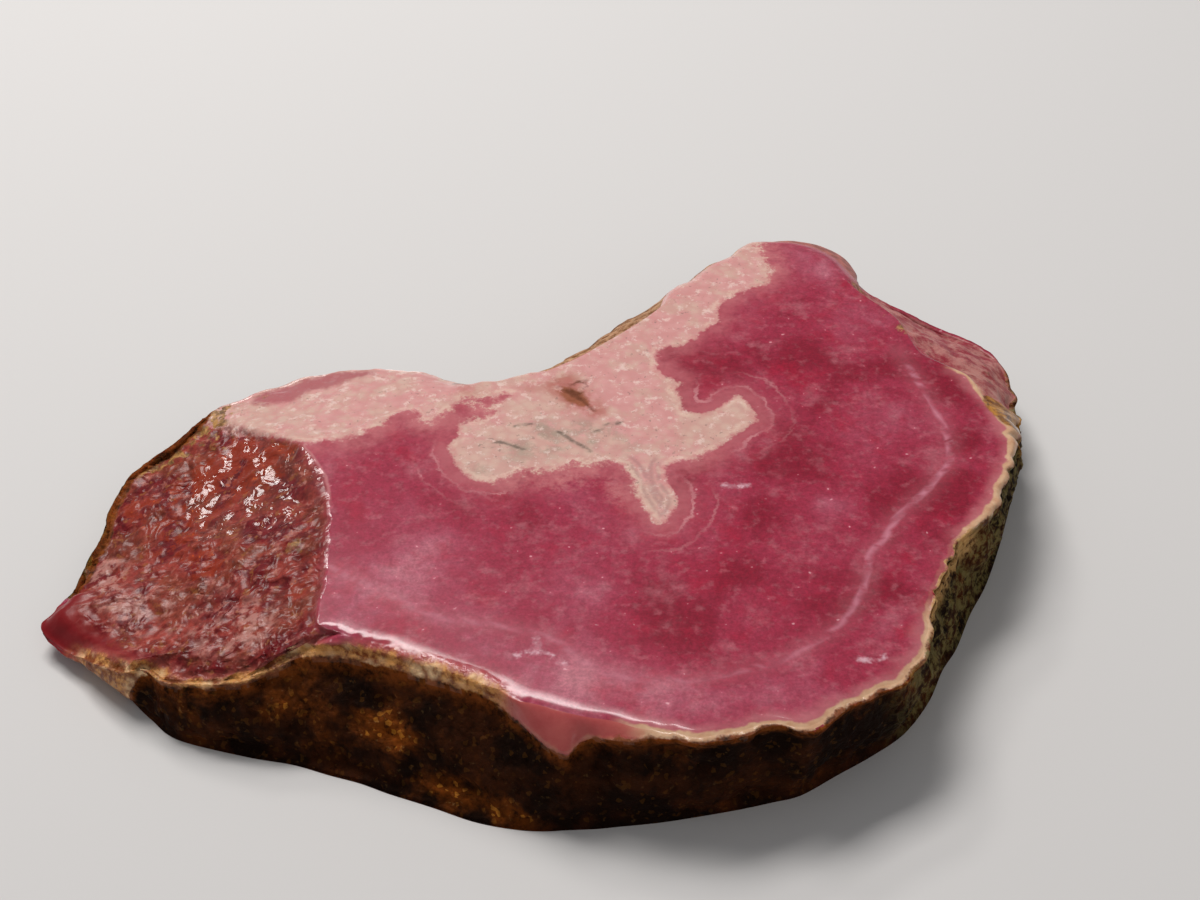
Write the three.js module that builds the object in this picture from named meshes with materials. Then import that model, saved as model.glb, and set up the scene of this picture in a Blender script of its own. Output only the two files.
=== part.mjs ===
// A slice of rhodochrosite, sawn flat on both faces, about 72 x 58 x 8 mm.
// The upper face is polished. Round it the slice keeps its natural outside: a thin brown rind,
// a broken slope that falls away to a pointed tip on the left, and a low shelf at the rear right.
// Millimetres, +Z up, the slice lying on its underside, +X along its long side.
// The origin is under the middle of the bounding box, on the plane of the underside.
import * as THREE from 'three';

// Driving dimensions
const THICKNESS = 8.0;
const BOX_MIDDLE = new THREE.Vector2(0.63, 1.855);
const HUB = new THREE.Vector2(8.0, -2.0);

// How finely the skin is divided: columns per station, and rows in each zone of the skin.
const COLUMNS_PER_STATION = 2;
const FACE_ROWS = 2;
const SHOULDER_ROWS = 6;
const WALL_ROWS = 5;
const UNDERSIDE_ROWS = 3;

// Shape of the zones
const STRAIGHT_FALL = 1.15;
const ROUNDED_FALL = 1.1;
const NARROW_SHOULDER = 3.0;
const WALL_BULGE = 0.7;
const CHIP_DEPTH = 2.0;
const LUMP_HEIGHT = 0.3;
const LUMP_WAVES = [0.9, 1.25, 1.6];

// Stations round the slice, anticlockwise from the tip. Each holds the edge of the polished face
// (x, y), the rim of the natural outside (x, y, z) and the foot of the wall (x, y, z).
const STATIONS = [
  // The tip, and the front of the broken slope
  [-15.1, -9.0, -35.5, -10.6, 1.9, -34.2, -10.5, 0.9],
  [-15.0, -11.0, -33.4, -12.5, 1.6, -32.7, -12.0, 0.8],
  [-15.0, -12.6, -31.2, -14.4, 2.5, -30.5, -13.8, 0.6],
  [-15.0, -14.0, -28.9, -16.3, 3.4, -28.5, -16.0, 0.2],
  [-15.0, -15.2, -27.2, -16.7, 4.1, -26.9, -17.6, 0.0],
  [-15.0, -15.9, -25.1, -18.0, 4.4, -24.8, -19.4, 0.0],
  [-14.9, -16.4, -20.7, -18.9, 5.3, -20.0, -20.9, 0.0],
  [-14.4, -16.7, -18.0, -18.3, 6.1, -16.8, -21.6, 0.0],
  // The long front wall, leaning outwards
  [-13.4, -17.1, -15.7, -17.6, 6.7, -14.3, -22.5, 0.0],
  [-12.2, -17.5, -13.3, -17.8, 6.9, -12.2, -23.2, 0.0],
  [-10.3, -18.2, -11.0, -18.8, 7.1, -10.2, -24.1, 0.0],
  [-7.5, -19.6, -7.7, -20.0, 7.3, -7.4, -25.2, 0.0],
  [-4.6, -21.2, -4.6, -21.5, 7.5, -4.6, -26.4, 0.0],
  // The pink wedge bevelled into the front edge
  [-2.0, -22.8, -2.2, -23.0, 7.0, -2.2, -27.0, 0.0],
  [-0.6, -23.3, -0.8, -24.3, 6.6, -0.3, -27.2, 0.0],
  [1.0, -23.9, 1.3, -25.8, 6.1, 1.6, -27.1, 0.0],
  [2.4, -24.4, 2.7, -25.2, 6.9, 3.4, -27.0, 0.0],
  [4.4, -24.9, 4.4, -25.9, 7.1, 5.0, -26.8, 0.0],
  // The front right corner, nearly upright
  [7.2, -25.7, 7.2, -26.2, 7.5, 7.4, -26.5, 0.0],
  [10.0, -26.0, 10.1, -26.4, 7.6, 10.0, -26.0, 0.0],
  [12.4, -25.7, 12.6, -26.1, 7.7, 12.7, -25.4, 0.0],
  [14.3, -25.0, 14.5, -25.2, 7.7, 14.9, -24.8, 0.0],
  [16.6, -25.2, 16.9, -25.6, 7.6, 16.8, -24.2, 0.0],
  [18.6, -23.6, 18.9, -23.9, 7.7, 19.3, -22.5, 0.0],
  [20.8, -22.4, 21.1, -22.7, 7.7, 21.8, -20.8, 0.0],
  [23.2, -20.8, 23.5, -21.1, 7.7, 24.2, -18.8, 0.0],
  [24.9, -18.0, 25.3, -18.2, 7.7, 26.2, -15.9, 0.0],
  // The right side
  [25.6, -14.9, 26.0, -15.0, 7.7, 27.5, -13.0, 0.0],
  [26.3, -12.4, 26.7, -12.5, 7.7, 28.8, -10.8, 0.0],
  [28.3, -8.4, 28.7, -8.5, 7.7, 30.2, -7.5, 0.0],
  [30.8, -5.6, 31.2, -5.7, 7.7, 31.8, -4.4, 0.0],
  [32.5, -1.6, 32.9, -1.6, 7.7, 33.4, -0.3, 0.0],
  [33.7, 1.8, 34.1, 1.8, 7.6, 34.7, 3.6, 0.0],
  // The low shelf at the rear right
  [33.4, 4.8, 34.8, 5.3, 6.6, 35.8, 7.2, 0.0],
  [32.4, 7.6, 36.1, 11.0, 4.8, 36.2, 10.6, 0.0],
  [31.6, 10.2, 36.1, 14.0, 4.5, 36.0, 14.0, 0.0],
  [30.0, 11.6, 35.4, 17.2, 4.5, 35.2, 17.4, 0.0],
  [28.3, 13.2, 33.9, 19.4, 4.5, 33.9, 19.9, 0.0],
  [27.6, 15.6, 31.4, 21.1, 4.6, 31.4, 21.8, 0.0],
  [27.0, 17.6, 29.2, 22.1, 5.2, 29.2, 23.0, 0.0],
  [25.9, 19.3, 27.0, 22.9, 5.9, 27.2, 24.0, 0.0],
  [24.7, 20.8, 25.2, 24.2, 6.4, 25.8, 25.4, 0.0],
  // The rear lobe, with its rolled edge
  [23.4, 23.0, 24.9, 27.0, 5.8, 25.4, 27.6, 0.0],
  [22.3, 25.2, 24.0, 29.2, 5.9, 24.4, 29.7, 0.0],
  [20.6, 26.9, 21.8, 30.0, 6.6, 22.0, 30.4, 0.0],
  [18.4, 27.8, 18.7, 29.9, 7.1, 18.8, 30.5, 0.0],
  [16.6, 27.8, 16.3, 29.0, 7.3, 16.2, 29.8, 0.0],
  // The rear wall, running inwards to the waist
  [14.4, 25.9, 14.0, 27.0, 7.4, 13.8, 28.2, 0.0],
  [11.9, 23.2, 11.4, 24.4, 7.4, 11.2, 26.0, 0.0],
  [9.9, 21.2, 9.0, 22.6, 6.9, 8.6, 24.4, 0.0],
  [7.6, 18.1, 7.0, 21.4, 6.1, 6.3, 23.4, 0.0],
  [4.6, 15.0, 4.0, 18.5, 6.0, 3.2, 20.4, 0.0],
  [1.2, 12.0, 0.9, 14.4, 6.7, 0.1, 16.5, 0.0],
  [-2.4, 10.0, -2.6, 11.0, 7.4, -3.2, 12.8, 0.0],
  [-5.6, 9.2, -5.9, 10.3, 7.2, -6.4, 11.6, 0.0],
  // The pale facet at the rear left
  [-8.0, 7.9, -8.3, 11.6, 6.8, -8.6, 12.7, 0.0],
  [-9.4, 6.6, -10.8, 12.6, 6.8, -11.0, 13.6, 0.0],
  [-11.2, 5.8, -14.3, 13.1, 6.6, -14.4, 14.2, 0.0],
  [-12.8, 5.0, -17.4, 13.0, 6.4, -17.8, 14.0, 0.0],
  [-13.8, 4.4, -20.0, 12.3, 6.2, -20.6, 13.2, 0.0],
  [-15.2, 3.6, -22.8, 11.0, 6.1, -23.6, 11.8, 0.0],
  [-17.2, 2.8, -25.1, 9.5, 6.0, -26.0, 10.2, 0.0],
  // The rear and left of the broken slope, back towards the tip
  [-18.0, 2.0, -26.8, 8.0, 5.8, -27.9, 8.6, 0.0],
  [-17.3, 0.9, -28.9, 5.5, 5.0, -30.0, 6.0, 0.0],
  [-16.6, -0.4, -31.3, 3.8, 4.2, -31.8, 4.1, 0.0],
  [-16.0, -1.6, -32.4, 1.6, 3.6, -32.6, 1.6, 0.0],
  [-15.5, -2.9, -32.8, -1.2, 3.3, -32.6, -1.2, 0.0],
  [-15.2, -4.3, -33.2, -4.0, 3.0, -32.8, -4.0, 0.1],
  [-15.1, -5.8, -33.9, -7.0, 2.6, -33.2, -7.0, 0.4],
  [-15.1, -7.4, -34.8, -9.2, 2.2, -33.9, -9.0, 0.7],
];

// A closed smooth curve through one group of the stations' numbers.
function outline(x, y, z) {
  const points = STATIONS.map((s) => new THREE.Vector3(s[x], s[y], z === null ? THICKNESS : s[z]));
  return new THREE.CatmullRomCurve3(points, true, 'catmullrom', 0.5);
}

const FACE_EDGE = outline(0, 1, null);
const RIM = outline(2, 3, 4);
const FOOT = outline(5, 6, 7);

// The foot never reaches below the plane of the underside.
function footPoint(u) {
  const p = FOOT.getPoint(u);
  p.z = Math.max(0, p.z);
  return p;
}

// Level direction pointing out of the slice, square to the foot.
function outward(u) {
  const along = FOOT.getTangent(u);
  return new THREE.Vector3(along.y, -along.x, 0).normalize();
}

// Low lumps of the natural outside, from the product of three slow waves.
function lump(p) {
  const [a, b, c] = LUMP_WAVES;
  return LUMP_HEIGHT * Math.sin(a * p.x + 0.7 * p.y) * Math.sin(b * p.y - 0.4 * p.x) * Math.cos(c * p.z);
}

// Polished face: level, from the hub out to the face edge.
function facePoint(u, t) {
  const hub = new THREE.Vector3(HUB.x, HUB.y, THICKNESS);
  return hub.lerp(FACE_EDGE.getPoint(u), t);
}

// Shoulder: from the face edge down to the rim. A narrow shoulder rolls over, a wide one runs straight.
function shoulderPoint(u, t) {
  const edge = FACE_EDGE.getPoint(u);
  const rim = RIM.getPoint(u);
  const width = Math.hypot(rim.x - edge.x, rim.y - edge.y);
  const fall = STRAIGHT_FALL + ROUNDED_FALL * Math.exp(-width / NARROW_SHOULDER);
  const p = edge.clone().lerp(rim, t);
  p.z = rim.z + (THICKNESS - rim.z) * (1 - t ** fall);
  return p;
}

// Wall: from the rim down to the foot, swelling outwards at mid height, with lumps.
function wallPoint(u, t) {
  const p = RIM.getPoint(u).lerp(footPoint(u), t);
  const swell = Math.sin(Math.PI * t) * (WALL_BULGE + lump(p));
  return p.addScaledVector(outward(u), swell);
}

// Underside: level, apart from the chip under the tip, which closes within a short way of the foot.
function undersidePoint(u, t) {
  const foot = footPoint(u);
  const hub = new THREE.Vector3(HUB.x, HUB.y, 0);
  const p = foot.clone().lerp(hub, t);
  p.z = foot.z * Math.max(0, 1 - CHIP_DEPTH * t);
  return p;
}

// The closed skin of the slice, as rings of points from the hub of the face to the hub of the underside.
function sliceGeometry() {
  const columns = STATIONS.length * COLUMNS_PER_STATION;
  const zones = [
    [facePoint, FACE_ROWS],
    [shoulderPoint, SHOULDER_ROWS],
    [wallPoint, WALL_ROWS],
    [undersidePoint, UNDERSIDE_ROWS],
  ];
  const positions = [HUB.x, HUB.y, THICKNESS];
  let rings = 0;
  for (const [place, rows] of zones) {
    for (let row = 1; row <= rows; row += 1) {
      const closing = place === undersidePoint && row === rows;
      if (closing) {
        continue;
      }
      for (let column = 0; column < columns; column += 1) {
        const p = place(column / columns, row / rows);
        positions.push(p.x, p.y, p.z);
      }
      rings += 1;
    }
  }
  positions.push(HUB.x, HUB.y, 0);
  const last = positions.length / 3 - 1;
  const at = (ring, column) => 1 + ring * columns + (column % columns);
  const faces = [];
  for (let column = 0; column < columns; column += 1) {
    faces.push(0, at(0, column), at(0, column + 1));
    for (let ring = 0; ring < rings - 1; ring += 1) {
      faces.push(at(ring, column), at(ring + 1, column), at(ring + 1, column + 1));
      faces.push(at(ring, column), at(ring + 1, column + 1), at(ring, column + 1));
    }
    faces.push(last, at(rings - 1, column + 1), at(rings - 1, column));
  }
  const geometry = new THREE.BufferGeometry();
  geometry.setAttribute('position', new THREE.Float32BufferAttribute(positions, 3));
  geometry.setIndex(faces);
  geometry.translate(-BOX_MIDDLE.x, -BOX_MIDDLE.y, 0);
  geometry.computeVertexNormals();
  return geometry;
}

const stone = new THREE.MeshStandardMaterial({ color: 0xa83a52, roughness: 0.25, metalness: 0.0 });
const slice = new THREE.Mesh(sliceGeometry(), stone);
slice.name = 'rhodochrosite_slice';

const part = new THREE.Group();
part.add(slice);

export default part;
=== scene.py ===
# %% [markdown]
# # A polished slice of rhodochrosite
# The real thing is one stone: a manganese carbonate that grew in pink layers round a pale centre. It was
# sawn into a slice 8 mm thick and its upper face polished. The frame already holds its solid at real size.
# Here that one solid gets its real skin: a level polished face, a glossy break, a crust and its markings.
# First the frame is loaded, and its box is kept, because the skin made here has to stay inside it.

# %% Loading the frame
import math

import bpy
import numpy as np
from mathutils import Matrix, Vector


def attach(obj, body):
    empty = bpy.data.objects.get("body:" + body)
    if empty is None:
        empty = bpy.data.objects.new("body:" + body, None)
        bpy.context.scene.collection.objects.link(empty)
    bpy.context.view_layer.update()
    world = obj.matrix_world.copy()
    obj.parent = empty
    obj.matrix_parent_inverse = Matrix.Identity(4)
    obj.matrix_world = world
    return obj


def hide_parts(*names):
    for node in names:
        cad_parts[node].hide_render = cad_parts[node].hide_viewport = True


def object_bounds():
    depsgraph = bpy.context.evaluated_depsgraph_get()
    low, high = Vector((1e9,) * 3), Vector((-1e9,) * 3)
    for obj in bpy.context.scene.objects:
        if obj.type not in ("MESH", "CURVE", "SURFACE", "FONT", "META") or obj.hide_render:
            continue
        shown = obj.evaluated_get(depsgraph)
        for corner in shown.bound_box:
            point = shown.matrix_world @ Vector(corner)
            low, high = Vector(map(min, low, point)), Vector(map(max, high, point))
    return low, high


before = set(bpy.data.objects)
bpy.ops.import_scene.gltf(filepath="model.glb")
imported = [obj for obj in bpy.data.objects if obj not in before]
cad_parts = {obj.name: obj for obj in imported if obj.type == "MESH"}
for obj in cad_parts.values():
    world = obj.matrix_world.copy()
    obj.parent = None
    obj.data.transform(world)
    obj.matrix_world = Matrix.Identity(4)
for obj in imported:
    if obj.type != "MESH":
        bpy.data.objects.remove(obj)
cad_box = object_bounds()
SOLID = "rhodochrosite_slice"
MM = 0.001
print("solid box in mm:", [[round(value / MM, 2) for value in corner] for corner in cad_box])

# %% [markdown]
# ## The camera
# A small stone is looked at from close by, a hand's breadth away, down a slope of 40 degrees. A moderately
# long lens at that distance keeps the near edge only a little larger than the far one. The nearest clipping
# distance has to come in too, because the usual one is longer than half the way to the stone.

# %% Camera
LOOK_AT = np.array([2.97, 9.145, 0.0]) * MM
LOOK_DISTANCE = 158 * MM
LOOK_DOWN = math.radians(40)

camera_data = bpy.data.cameras.new("camera")
camera_data.lens = 60
camera_data.sensor_width = 36
camera_data.clip_start = 0.01
camera_data.clip_end = 10
camera = bpy.data.objects.new("camera", camera_data)
bpy.context.collection.objects.link(camera)
camera.location = LOOK_AT + LOOK_DISTANCE * np.array([0, -math.cos(LOOK_DOWN), math.sin(LOOK_DOWN)])
camera.rotation_euler = (math.pi / 2 - LOOK_DOWN, 0, 0)
bpy.context.scene.camera = camera
print("camera stands", round(camera.location.z / MM), "mm above the floor")

# %% [markdown]
# ## Floor and light
# A polished face shows its lamp. A soft lamp hangs behind the stone and a little to the left, so that its
# reflection only grazes the front left of the face and lights up the rolled edge. A small weak one, lower
# down behind it, gives the break its clustered glints. A broad warm one in front and an even, dim surround
# fill the shadows. The plain display curve is used, since the filmic one would wash the strong pink out.


# %% Floor and light
def aim(thing, place, target):
    """Puts a thing at a place and turns its -Z axis towards the target."""
    thing.location = place
    direction = np.array(target) - np.array(place)
    thing.rotation_euler = (
        math.atan2(math.hypot(direction[0], direction[1]), -direction[2]),
        0,
        math.atan2(direction[0], -direction[1]) + math.pi,
    )


def soft_lamp(name, azimuth, height, distance, width, depth, watts, colour):
    """A rectangular lamp at an azimuth (0 is behind the stone, right is positive) and a height angle."""
    data = bpy.data.lights.new(name, "AREA")
    data.shape = "RECTANGLE"
    data.size = width
    data.size_y = depth
    data.energy = watts
    data.color = colour
    lamp = bpy.data.objects.new(name, data)
    bpy.context.collection.objects.link(lamp)
    a, h = math.radians(azimuth), math.radians(height)
    level = distance * math.cos(h)
    aim(lamp, (level * math.sin(a), level * math.cos(a), distance * math.sin(h)), (0, 0, 0))
    return lamp


LAMPS = [
    # Name, azimuth and height in degrees, distance, width and depth in metres, watts, colour
    ("lamp_behind", -31, 62.3, 0.45, 0.24, 0.14, 1.62, (1.0, 0.97, 0.95)),
    ("lamp_sparkle", -27, 45.7, 0.4, 0.08, 0.04, 0.24, (1.0, 0.98, 0.95)),
    ("lamp_fill", 150, 40, 0.9, 0.6, 0.6, 0.7, (1.0, 0.93, 0.85)),
]
for lamp_numbers in LAMPS:
    soft_lamp(*lamp_numbers)

world = bpy.data.worlds.new("surround")
world.use_nodes = True
surround = world.node_tree.nodes["Background"]
surround.inputs["Color"].default_value = (0.95, 0.96, 1.0, 1)
surround.inputs["Strength"].default_value = 0.25
bpy.context.scene.world = world
bpy.context.scene.view_settings.view_transform = "Standard"

FLOOR_HALF = 1.0
FLOOR_DROP = 0.02 * MM
floor_mesh = bpy.data.meshes.new("floor")
sides = ((-1, -1), (1, -1), (1, 1), (-1, 1))
floor_corners = [(x * FLOOR_HALF, y * FLOOR_HALF, -FLOOR_DROP) for x, y in sides]
floor_mesh.from_pydata(floor_corners, [], [(0, 1, 2, 3)])
floor = bpy.data.objects.new("floor", floor_mesh)
bpy.context.collection.objects.link(floor)
floor_paint = bpy.data.materials.new("pale_floor")
floor_paint.use_nodes = True
floor_shader = floor_paint.node_tree.nodes["Principled BSDF"]
floor_shader.inputs["Base Color"].default_value = (0.62, 0.61, 0.6, 1)
floor_shader.inputs["Roughness"].default_value = 0.9
floor_mesh.materials.append(floor_paint)
print("floor and", len(bpy.data.lights), "lamps")

# %% [markdown]
# ## The outlines of the slice
# Three closed outlines carry the whole shape: the edge of the polished face, the rim where the natural
# outside begins, and the foot on the table. Each was measured at the same stations round the stone, so a
# column of the skin can run from the middle of the face over all three to the middle of the underside.
# A smooth curve through the stations (Catmull-Rom) needs few numbers and passes exactly through each one.

# %% Stations
THICKNESS = 8.0
BOX_MIDDLE = np.array([0.63, 1.855, 0.0])
HUB = np.array([8.0, -2.0])
STATIONS = np.array([
    # Each row: face edge x, y; rim x, y, z; foot x, y, z, all in mm
    # The tip, and the front of the broken slope
    [-15.1, -9.0, -35.5, -10.6, 1.9, -34.2, -10.5, 0.9],
    [-15.0, -11.0, -33.4, -12.5, 1.6, -32.7, -12.0, 0.8],
    [-15.0, -12.6, -31.2, -14.4, 2.5, -30.5, -13.8, 0.6],
    [-15.0, -14.0, -28.9, -16.3, 3.4, -28.5, -16.0, 0.2],
    [-15.0, -15.2, -27.2, -16.7, 4.1, -26.9, -17.6, 0.0],
    [-15.0, -15.9, -25.1, -18.0, 4.4, -24.8, -19.4, 0.0],
    [-14.9, -16.4, -20.7, -18.9, 5.3, -20.0, -20.9, 0.0],
    [-14.4, -16.7, -18.0, -18.3, 6.1, -16.8, -21.6, 0.0],
    # The long front wall, leaning outwards
    [-13.4, -17.1, -15.7, -17.6, 6.7, -14.3, -22.5, 0.0],
    [-12.2, -17.5, -13.3, -17.8, 6.9, -12.2, -23.2, 0.0],
    [-10.3, -18.2, -11.0, -18.8, 7.1, -10.2, -24.1, 0.0],
    [-7.5, -19.6, -7.7, -20.0, 7.3, -7.4, -25.2, 0.0],
    [-4.6, -21.2, -4.6, -21.5, 7.5, -4.6, -26.4, 0.0],
    # The pink wedge bevelled into the front edge
    [-2.0, -22.8, -2.2, -23.0, 7.0, -2.2, -27.0, 0.0],
    [-0.6, -23.3, -0.8, -24.3, 6.6, -0.3, -27.2, 0.0],
    [1.0, -23.9, 1.3, -25.8, 6.1, 1.6, -27.1, 0.0],
    [2.4, -24.4, 2.7, -25.2, 6.9, 3.4, -27.0, 0.0],
    [4.4, -24.9, 4.4, -25.9, 7.1, 5.0, -26.8, 0.0],
    # The front right corner, nearly upright
    [7.2, -25.7, 7.2, -26.2, 7.5, 7.4, -26.5, 0.0],
    [10.0, -26.0, 10.1, -26.4, 7.6, 10.0, -26.0, 0.0],
    [12.4, -25.7, 12.6, -26.1, 7.7, 12.7, -25.4, 0.0],
    [14.3, -25.0, 14.5, -25.2, 7.7, 14.9, -24.8, 0.0],
    [16.6, -25.2, 16.9, -25.6, 7.6, 16.8, -24.2, 0.0],
    [18.6, -23.6, 18.9, -23.9, 7.7, 19.3, -22.5, 0.0],
    [20.8, -22.4, 21.1, -22.7, 7.7, 21.8, -20.8, 0.0],
    [23.2, -20.8, 23.5, -21.1, 7.7, 24.2, -18.8, 0.0],
    [24.9, -18.0, 25.3, -18.2, 7.7, 26.2, -15.9, 0.0],
    # The right side
    [25.6, -14.9, 26.0, -15.0, 7.7, 27.5, -13.0, 0.0],
    [26.3, -12.4, 26.7, -12.5, 7.7, 28.8, -10.8, 0.0],
    [28.3, -8.4, 28.7, -8.5, 7.7, 30.2, -7.5, 0.0],
    [30.8, -5.6, 31.2, -5.7, 7.7, 31.8, -4.4, 0.0],
    [32.5, -1.6, 32.9, -1.6, 7.7, 33.4, -0.3, 0.0],
    [33.7, 1.8, 34.1, 1.8, 7.6, 34.7, 3.6, 0.0],
    # The low shelf at the rear right
    [33.4, 4.8, 34.8, 5.3, 6.6, 35.8, 7.2, 0.0],
    [32.4, 7.6, 36.1, 11.0, 4.8, 36.2, 10.6, 0.0],
    [31.6, 10.2, 36.1, 14.0, 4.5, 36.0, 14.0, 0.0],
    [30.0, 11.6, 35.4, 17.2, 4.5, 35.2, 17.4, 0.0],
    [28.3, 13.2, 33.9, 19.4, 4.5, 33.9, 19.9, 0.0],
    [27.6, 15.6, 31.4, 21.1, 4.6, 31.4, 21.8, 0.0],
    [27.0, 17.6, 29.2, 22.1, 5.2, 29.2, 23.0, 0.0],
    [25.9, 19.3, 27.0, 22.9, 5.9, 27.2, 24.0, 0.0],
    [24.7, 20.8, 25.2, 24.2, 6.4, 25.8, 25.4, 0.0],
    # The rear lobe, with its rolled edge
    [23.4, 23.0, 24.9, 27.0, 5.8, 25.4, 27.6, 0.0],
    [22.3, 25.2, 24.0, 29.2, 5.9, 24.4, 29.7, 0.0],
    [20.6, 26.9, 21.8, 30.0, 6.6, 22.0, 30.4, 0.0],
    [18.4, 27.8, 18.7, 29.9, 7.1, 18.8, 30.5, 0.0],
    [16.6, 27.8, 16.3, 29.0, 7.3, 16.2, 29.8, 0.0],
    # The rear wall, running inwards to the waist
    [14.4, 25.9, 14.0, 27.0, 7.4, 13.8, 28.2, 0.0],
    [11.9, 23.2, 11.4, 24.4, 7.4, 11.2, 26.0, 0.0],
    [9.9, 21.2, 9.0, 22.6, 6.9, 8.6, 24.4, 0.0],
    [7.6, 18.1, 7.0, 21.4, 6.1, 6.3, 23.4, 0.0],
    [4.6, 15.0, 4.0, 18.5, 6.0, 3.2, 20.4, 0.0],
    [1.2, 12.0, 0.9, 14.4, 6.7, 0.1, 16.5, 0.0],
    [-2.4, 10.0, -2.6, 11.0, 7.4, -3.2, 12.8, 0.0],
    [-5.6, 9.2, -5.9, 10.3, 7.2, -6.4, 11.6, 0.0],
    # The pale facet at the rear left
    [-8.0, 7.9, -8.3, 11.6, 6.8, -8.6, 12.7, 0.0],
    [-9.4, 6.6, -10.8, 12.6, 6.8, -11.0, 13.6, 0.0],
    [-11.2, 5.8, -14.3, 13.1, 6.6, -14.4, 14.2, 0.0],
    [-12.8, 5.0, -17.4, 13.0, 6.4, -17.8, 14.0, 0.0],
    [-13.8, 4.4, -20.0, 12.3, 6.2, -20.6, 13.2, 0.0],
    [-15.2, 3.6, -22.8, 11.0, 6.1, -23.6, 11.8, 0.0],
    [-17.2, 2.8, -25.1, 9.5, 6.0, -26.0, 10.2, 0.0],
    # The rear and left of the broken slope, back towards the tip
    [-18.0, 2.0, -26.8, 8.0, 5.8, -27.9, 8.6, 0.0],
    [-17.3, 0.9, -28.9, 5.5, 5.0, -30.0, 6.0, 0.0],
    [-16.6, -0.4, -31.3, 3.8, 4.2, -31.8, 4.1, 0.0],
    [-16.0, -1.6, -32.4, 1.6, 3.6, -32.6, 1.6, 0.0],
    [-15.5, -2.9, -32.8, -1.2, 3.3, -32.6, -1.2, 0.0],
    [-15.2, -4.3, -33.2, -4.0, 3.0, -32.8, -4.0, 0.1],
    [-15.1, -5.8, -33.9, -7.0, 2.6, -33.2, -7.0, 0.4],
    [-15.1, -7.4, -34.8, -9.2, 2.2, -33.9, -9.0, 0.7],
])
STEPS_ON_BREAK, STEPS_ON_CRYSTALS, STEPS_ELSEWHERE = 14, 12, 8


# %% Smooth curves
def smooth_curve(points, place, closed=True):
    """Catmull-Rom curve. A place is a point's number plus a share t of the way to the next. Between points
    b and c, with neighbours a and d, the curve is half of
    2b + (c - a) t + (2a - 5b + 4c - d) t^2 + (3b - a - 3c + d) t^3."""
    points = np.asarray(points, dtype=float)
    index = np.floor(place).astype(int)
    t = (place - index)[:, None]
    if closed:
        a, b, c, d = (points[(index + k) % len(points)] for k in (-1, 0, 1, 2))
    else:
        a, b, c, d = (points[np.clip(index + k, 0, len(points) - 1)] for k in (-1, 0, 1, 2))
    cubic = 2 * b + (c - a) * t + (2 * a - 5 * b + 4 * c - d) * t**2 + (3 * b - a - 3 * c + d) * t**3
    return cubic / 2


def even_places(count, steps):
    """The places 0, 1/steps, 2/steps and so on, up to the count."""
    return np.arange(count * steps) / steps


station_numbers = np.arange(len(STATIONS))
on_the_break = (station_numbers >= 61) | (station_numbers < 8)
steps_here = np.where(on_the_break, STEPS_ON_BREAK, STEPS_ELSEWHERE)
steps_here[27:36] = STEPS_ON_CRYSTALS
station_of_column = np.concatenate([k + np.arange(steps) / steps for k, steps in enumerate(steps_here)])
COLUMNS = len(station_of_column)
face_edge = smooth_curve(np.c_[STATIONS[:, 0:2], np.full(len(STATIONS), THICKNESS)], station_of_column)
rim = smooth_curve(STATIONS[:, 2:5], station_of_column)
foot = smooth_curve(STATIONS[:, 5:8], station_of_column)
foot[:, 2] = np.maximum(foot[:, 2], 0)
print("outlines of", COLUMNS, "columns; the face spans", np.ptp(face_edge, axis=0).round(1)[:2], "mm")

# %% [markdown]
# ## Noise made by hand
# Breaks, crusts and crystal grains are irregular but never random from one build to the next. Noise made
# from whole-number arithmetic on the cell that a point lies in gives the same stone every time, and works
# on all points at once. Two kinds are enough: rolling noise for lumps, and scattered seeds for bowls,
# grains and flat crystal facets.


# %% Noise
def cell_number(cell, seed):
    """One steady number from 0 to 1 for each cell: its three whole numbers and the seed are multiplied by
    large odd numbers and added, then the bits are folded over and multiplied once more."""
    x, y, z = (cell[..., k].astype(np.int64) for k in range(3))
    mixed = (x * 374761393 + y * 668265263 + z * 1103515245 + seed * 974711) & 0xFFFFFFFF
    mixed = ((mixed ^ (mixed >> 13)) * 1274126177) & 0xFFFFFFFF
    return ((mixed ^ (mixed >> 16)) & 0xFFFFFF) / 0x1000000


def rolling(points, size, seed):
    """Smooth noise from -1 to 1: the numbers at the eight corners of a cell of the given size in mm are
    blended by 3t^2 - 2t^3 along each axis."""
    place = points / size
    base = np.floor(place)
    t = place - base
    t = t * t * (3 - 2 * t)
    total = 0
    for corner in np.ndindex(2, 2, 2):
        weight = np.prod(np.where(corner, t, 1 - t), axis=-1)
        total = total + weight * cell_number(base + corner, seed)
    return 2 * total - 1


def rubble(points, size, seed, octaves=3):
    """Several sizes of rolling noise added up, each half as wide and half as high as the one before."""
    return sum(rolling(points, size / 2**k, seed + k) / 2**k for k in range(octaves))


def nearest_seeds(points, size, seed):
    """One seed lies at a steady place in each cell. For each point this gives the distance to the nearest
    seed, the step from it, both in cells, and that seed's own number from 0 to 1."""
    place = points / size
    base = np.floor(place)
    least = np.full(place.shape[:-1], 9.0)
    step = np.zeros_like(place)
    number = np.zeros_like(least)
    for shift in np.ndindex(3, 3, 3):
        cell = base + shift - 1
        gap = place - cell - np.stack([cell_number(cell, seed + k) for k in range(3)], -1)
        distance = np.linalg.norm(gap, axis=-1)
        closer = distance < least
        step = np.where(closer[..., None], gap, step)
        number = np.where(closer, cell_number(cell, seed + 7), number)
        least = np.where(closer, distance, least)
    return least, step, number


def eased(value, low, high):
    """0 below low, 1 above high, and 3t^2 - 2t^3 between them."""
    t = np.clip((value - low) / (high - low), 0, 1)
    return t * t * (3 - 2 * t)


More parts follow.
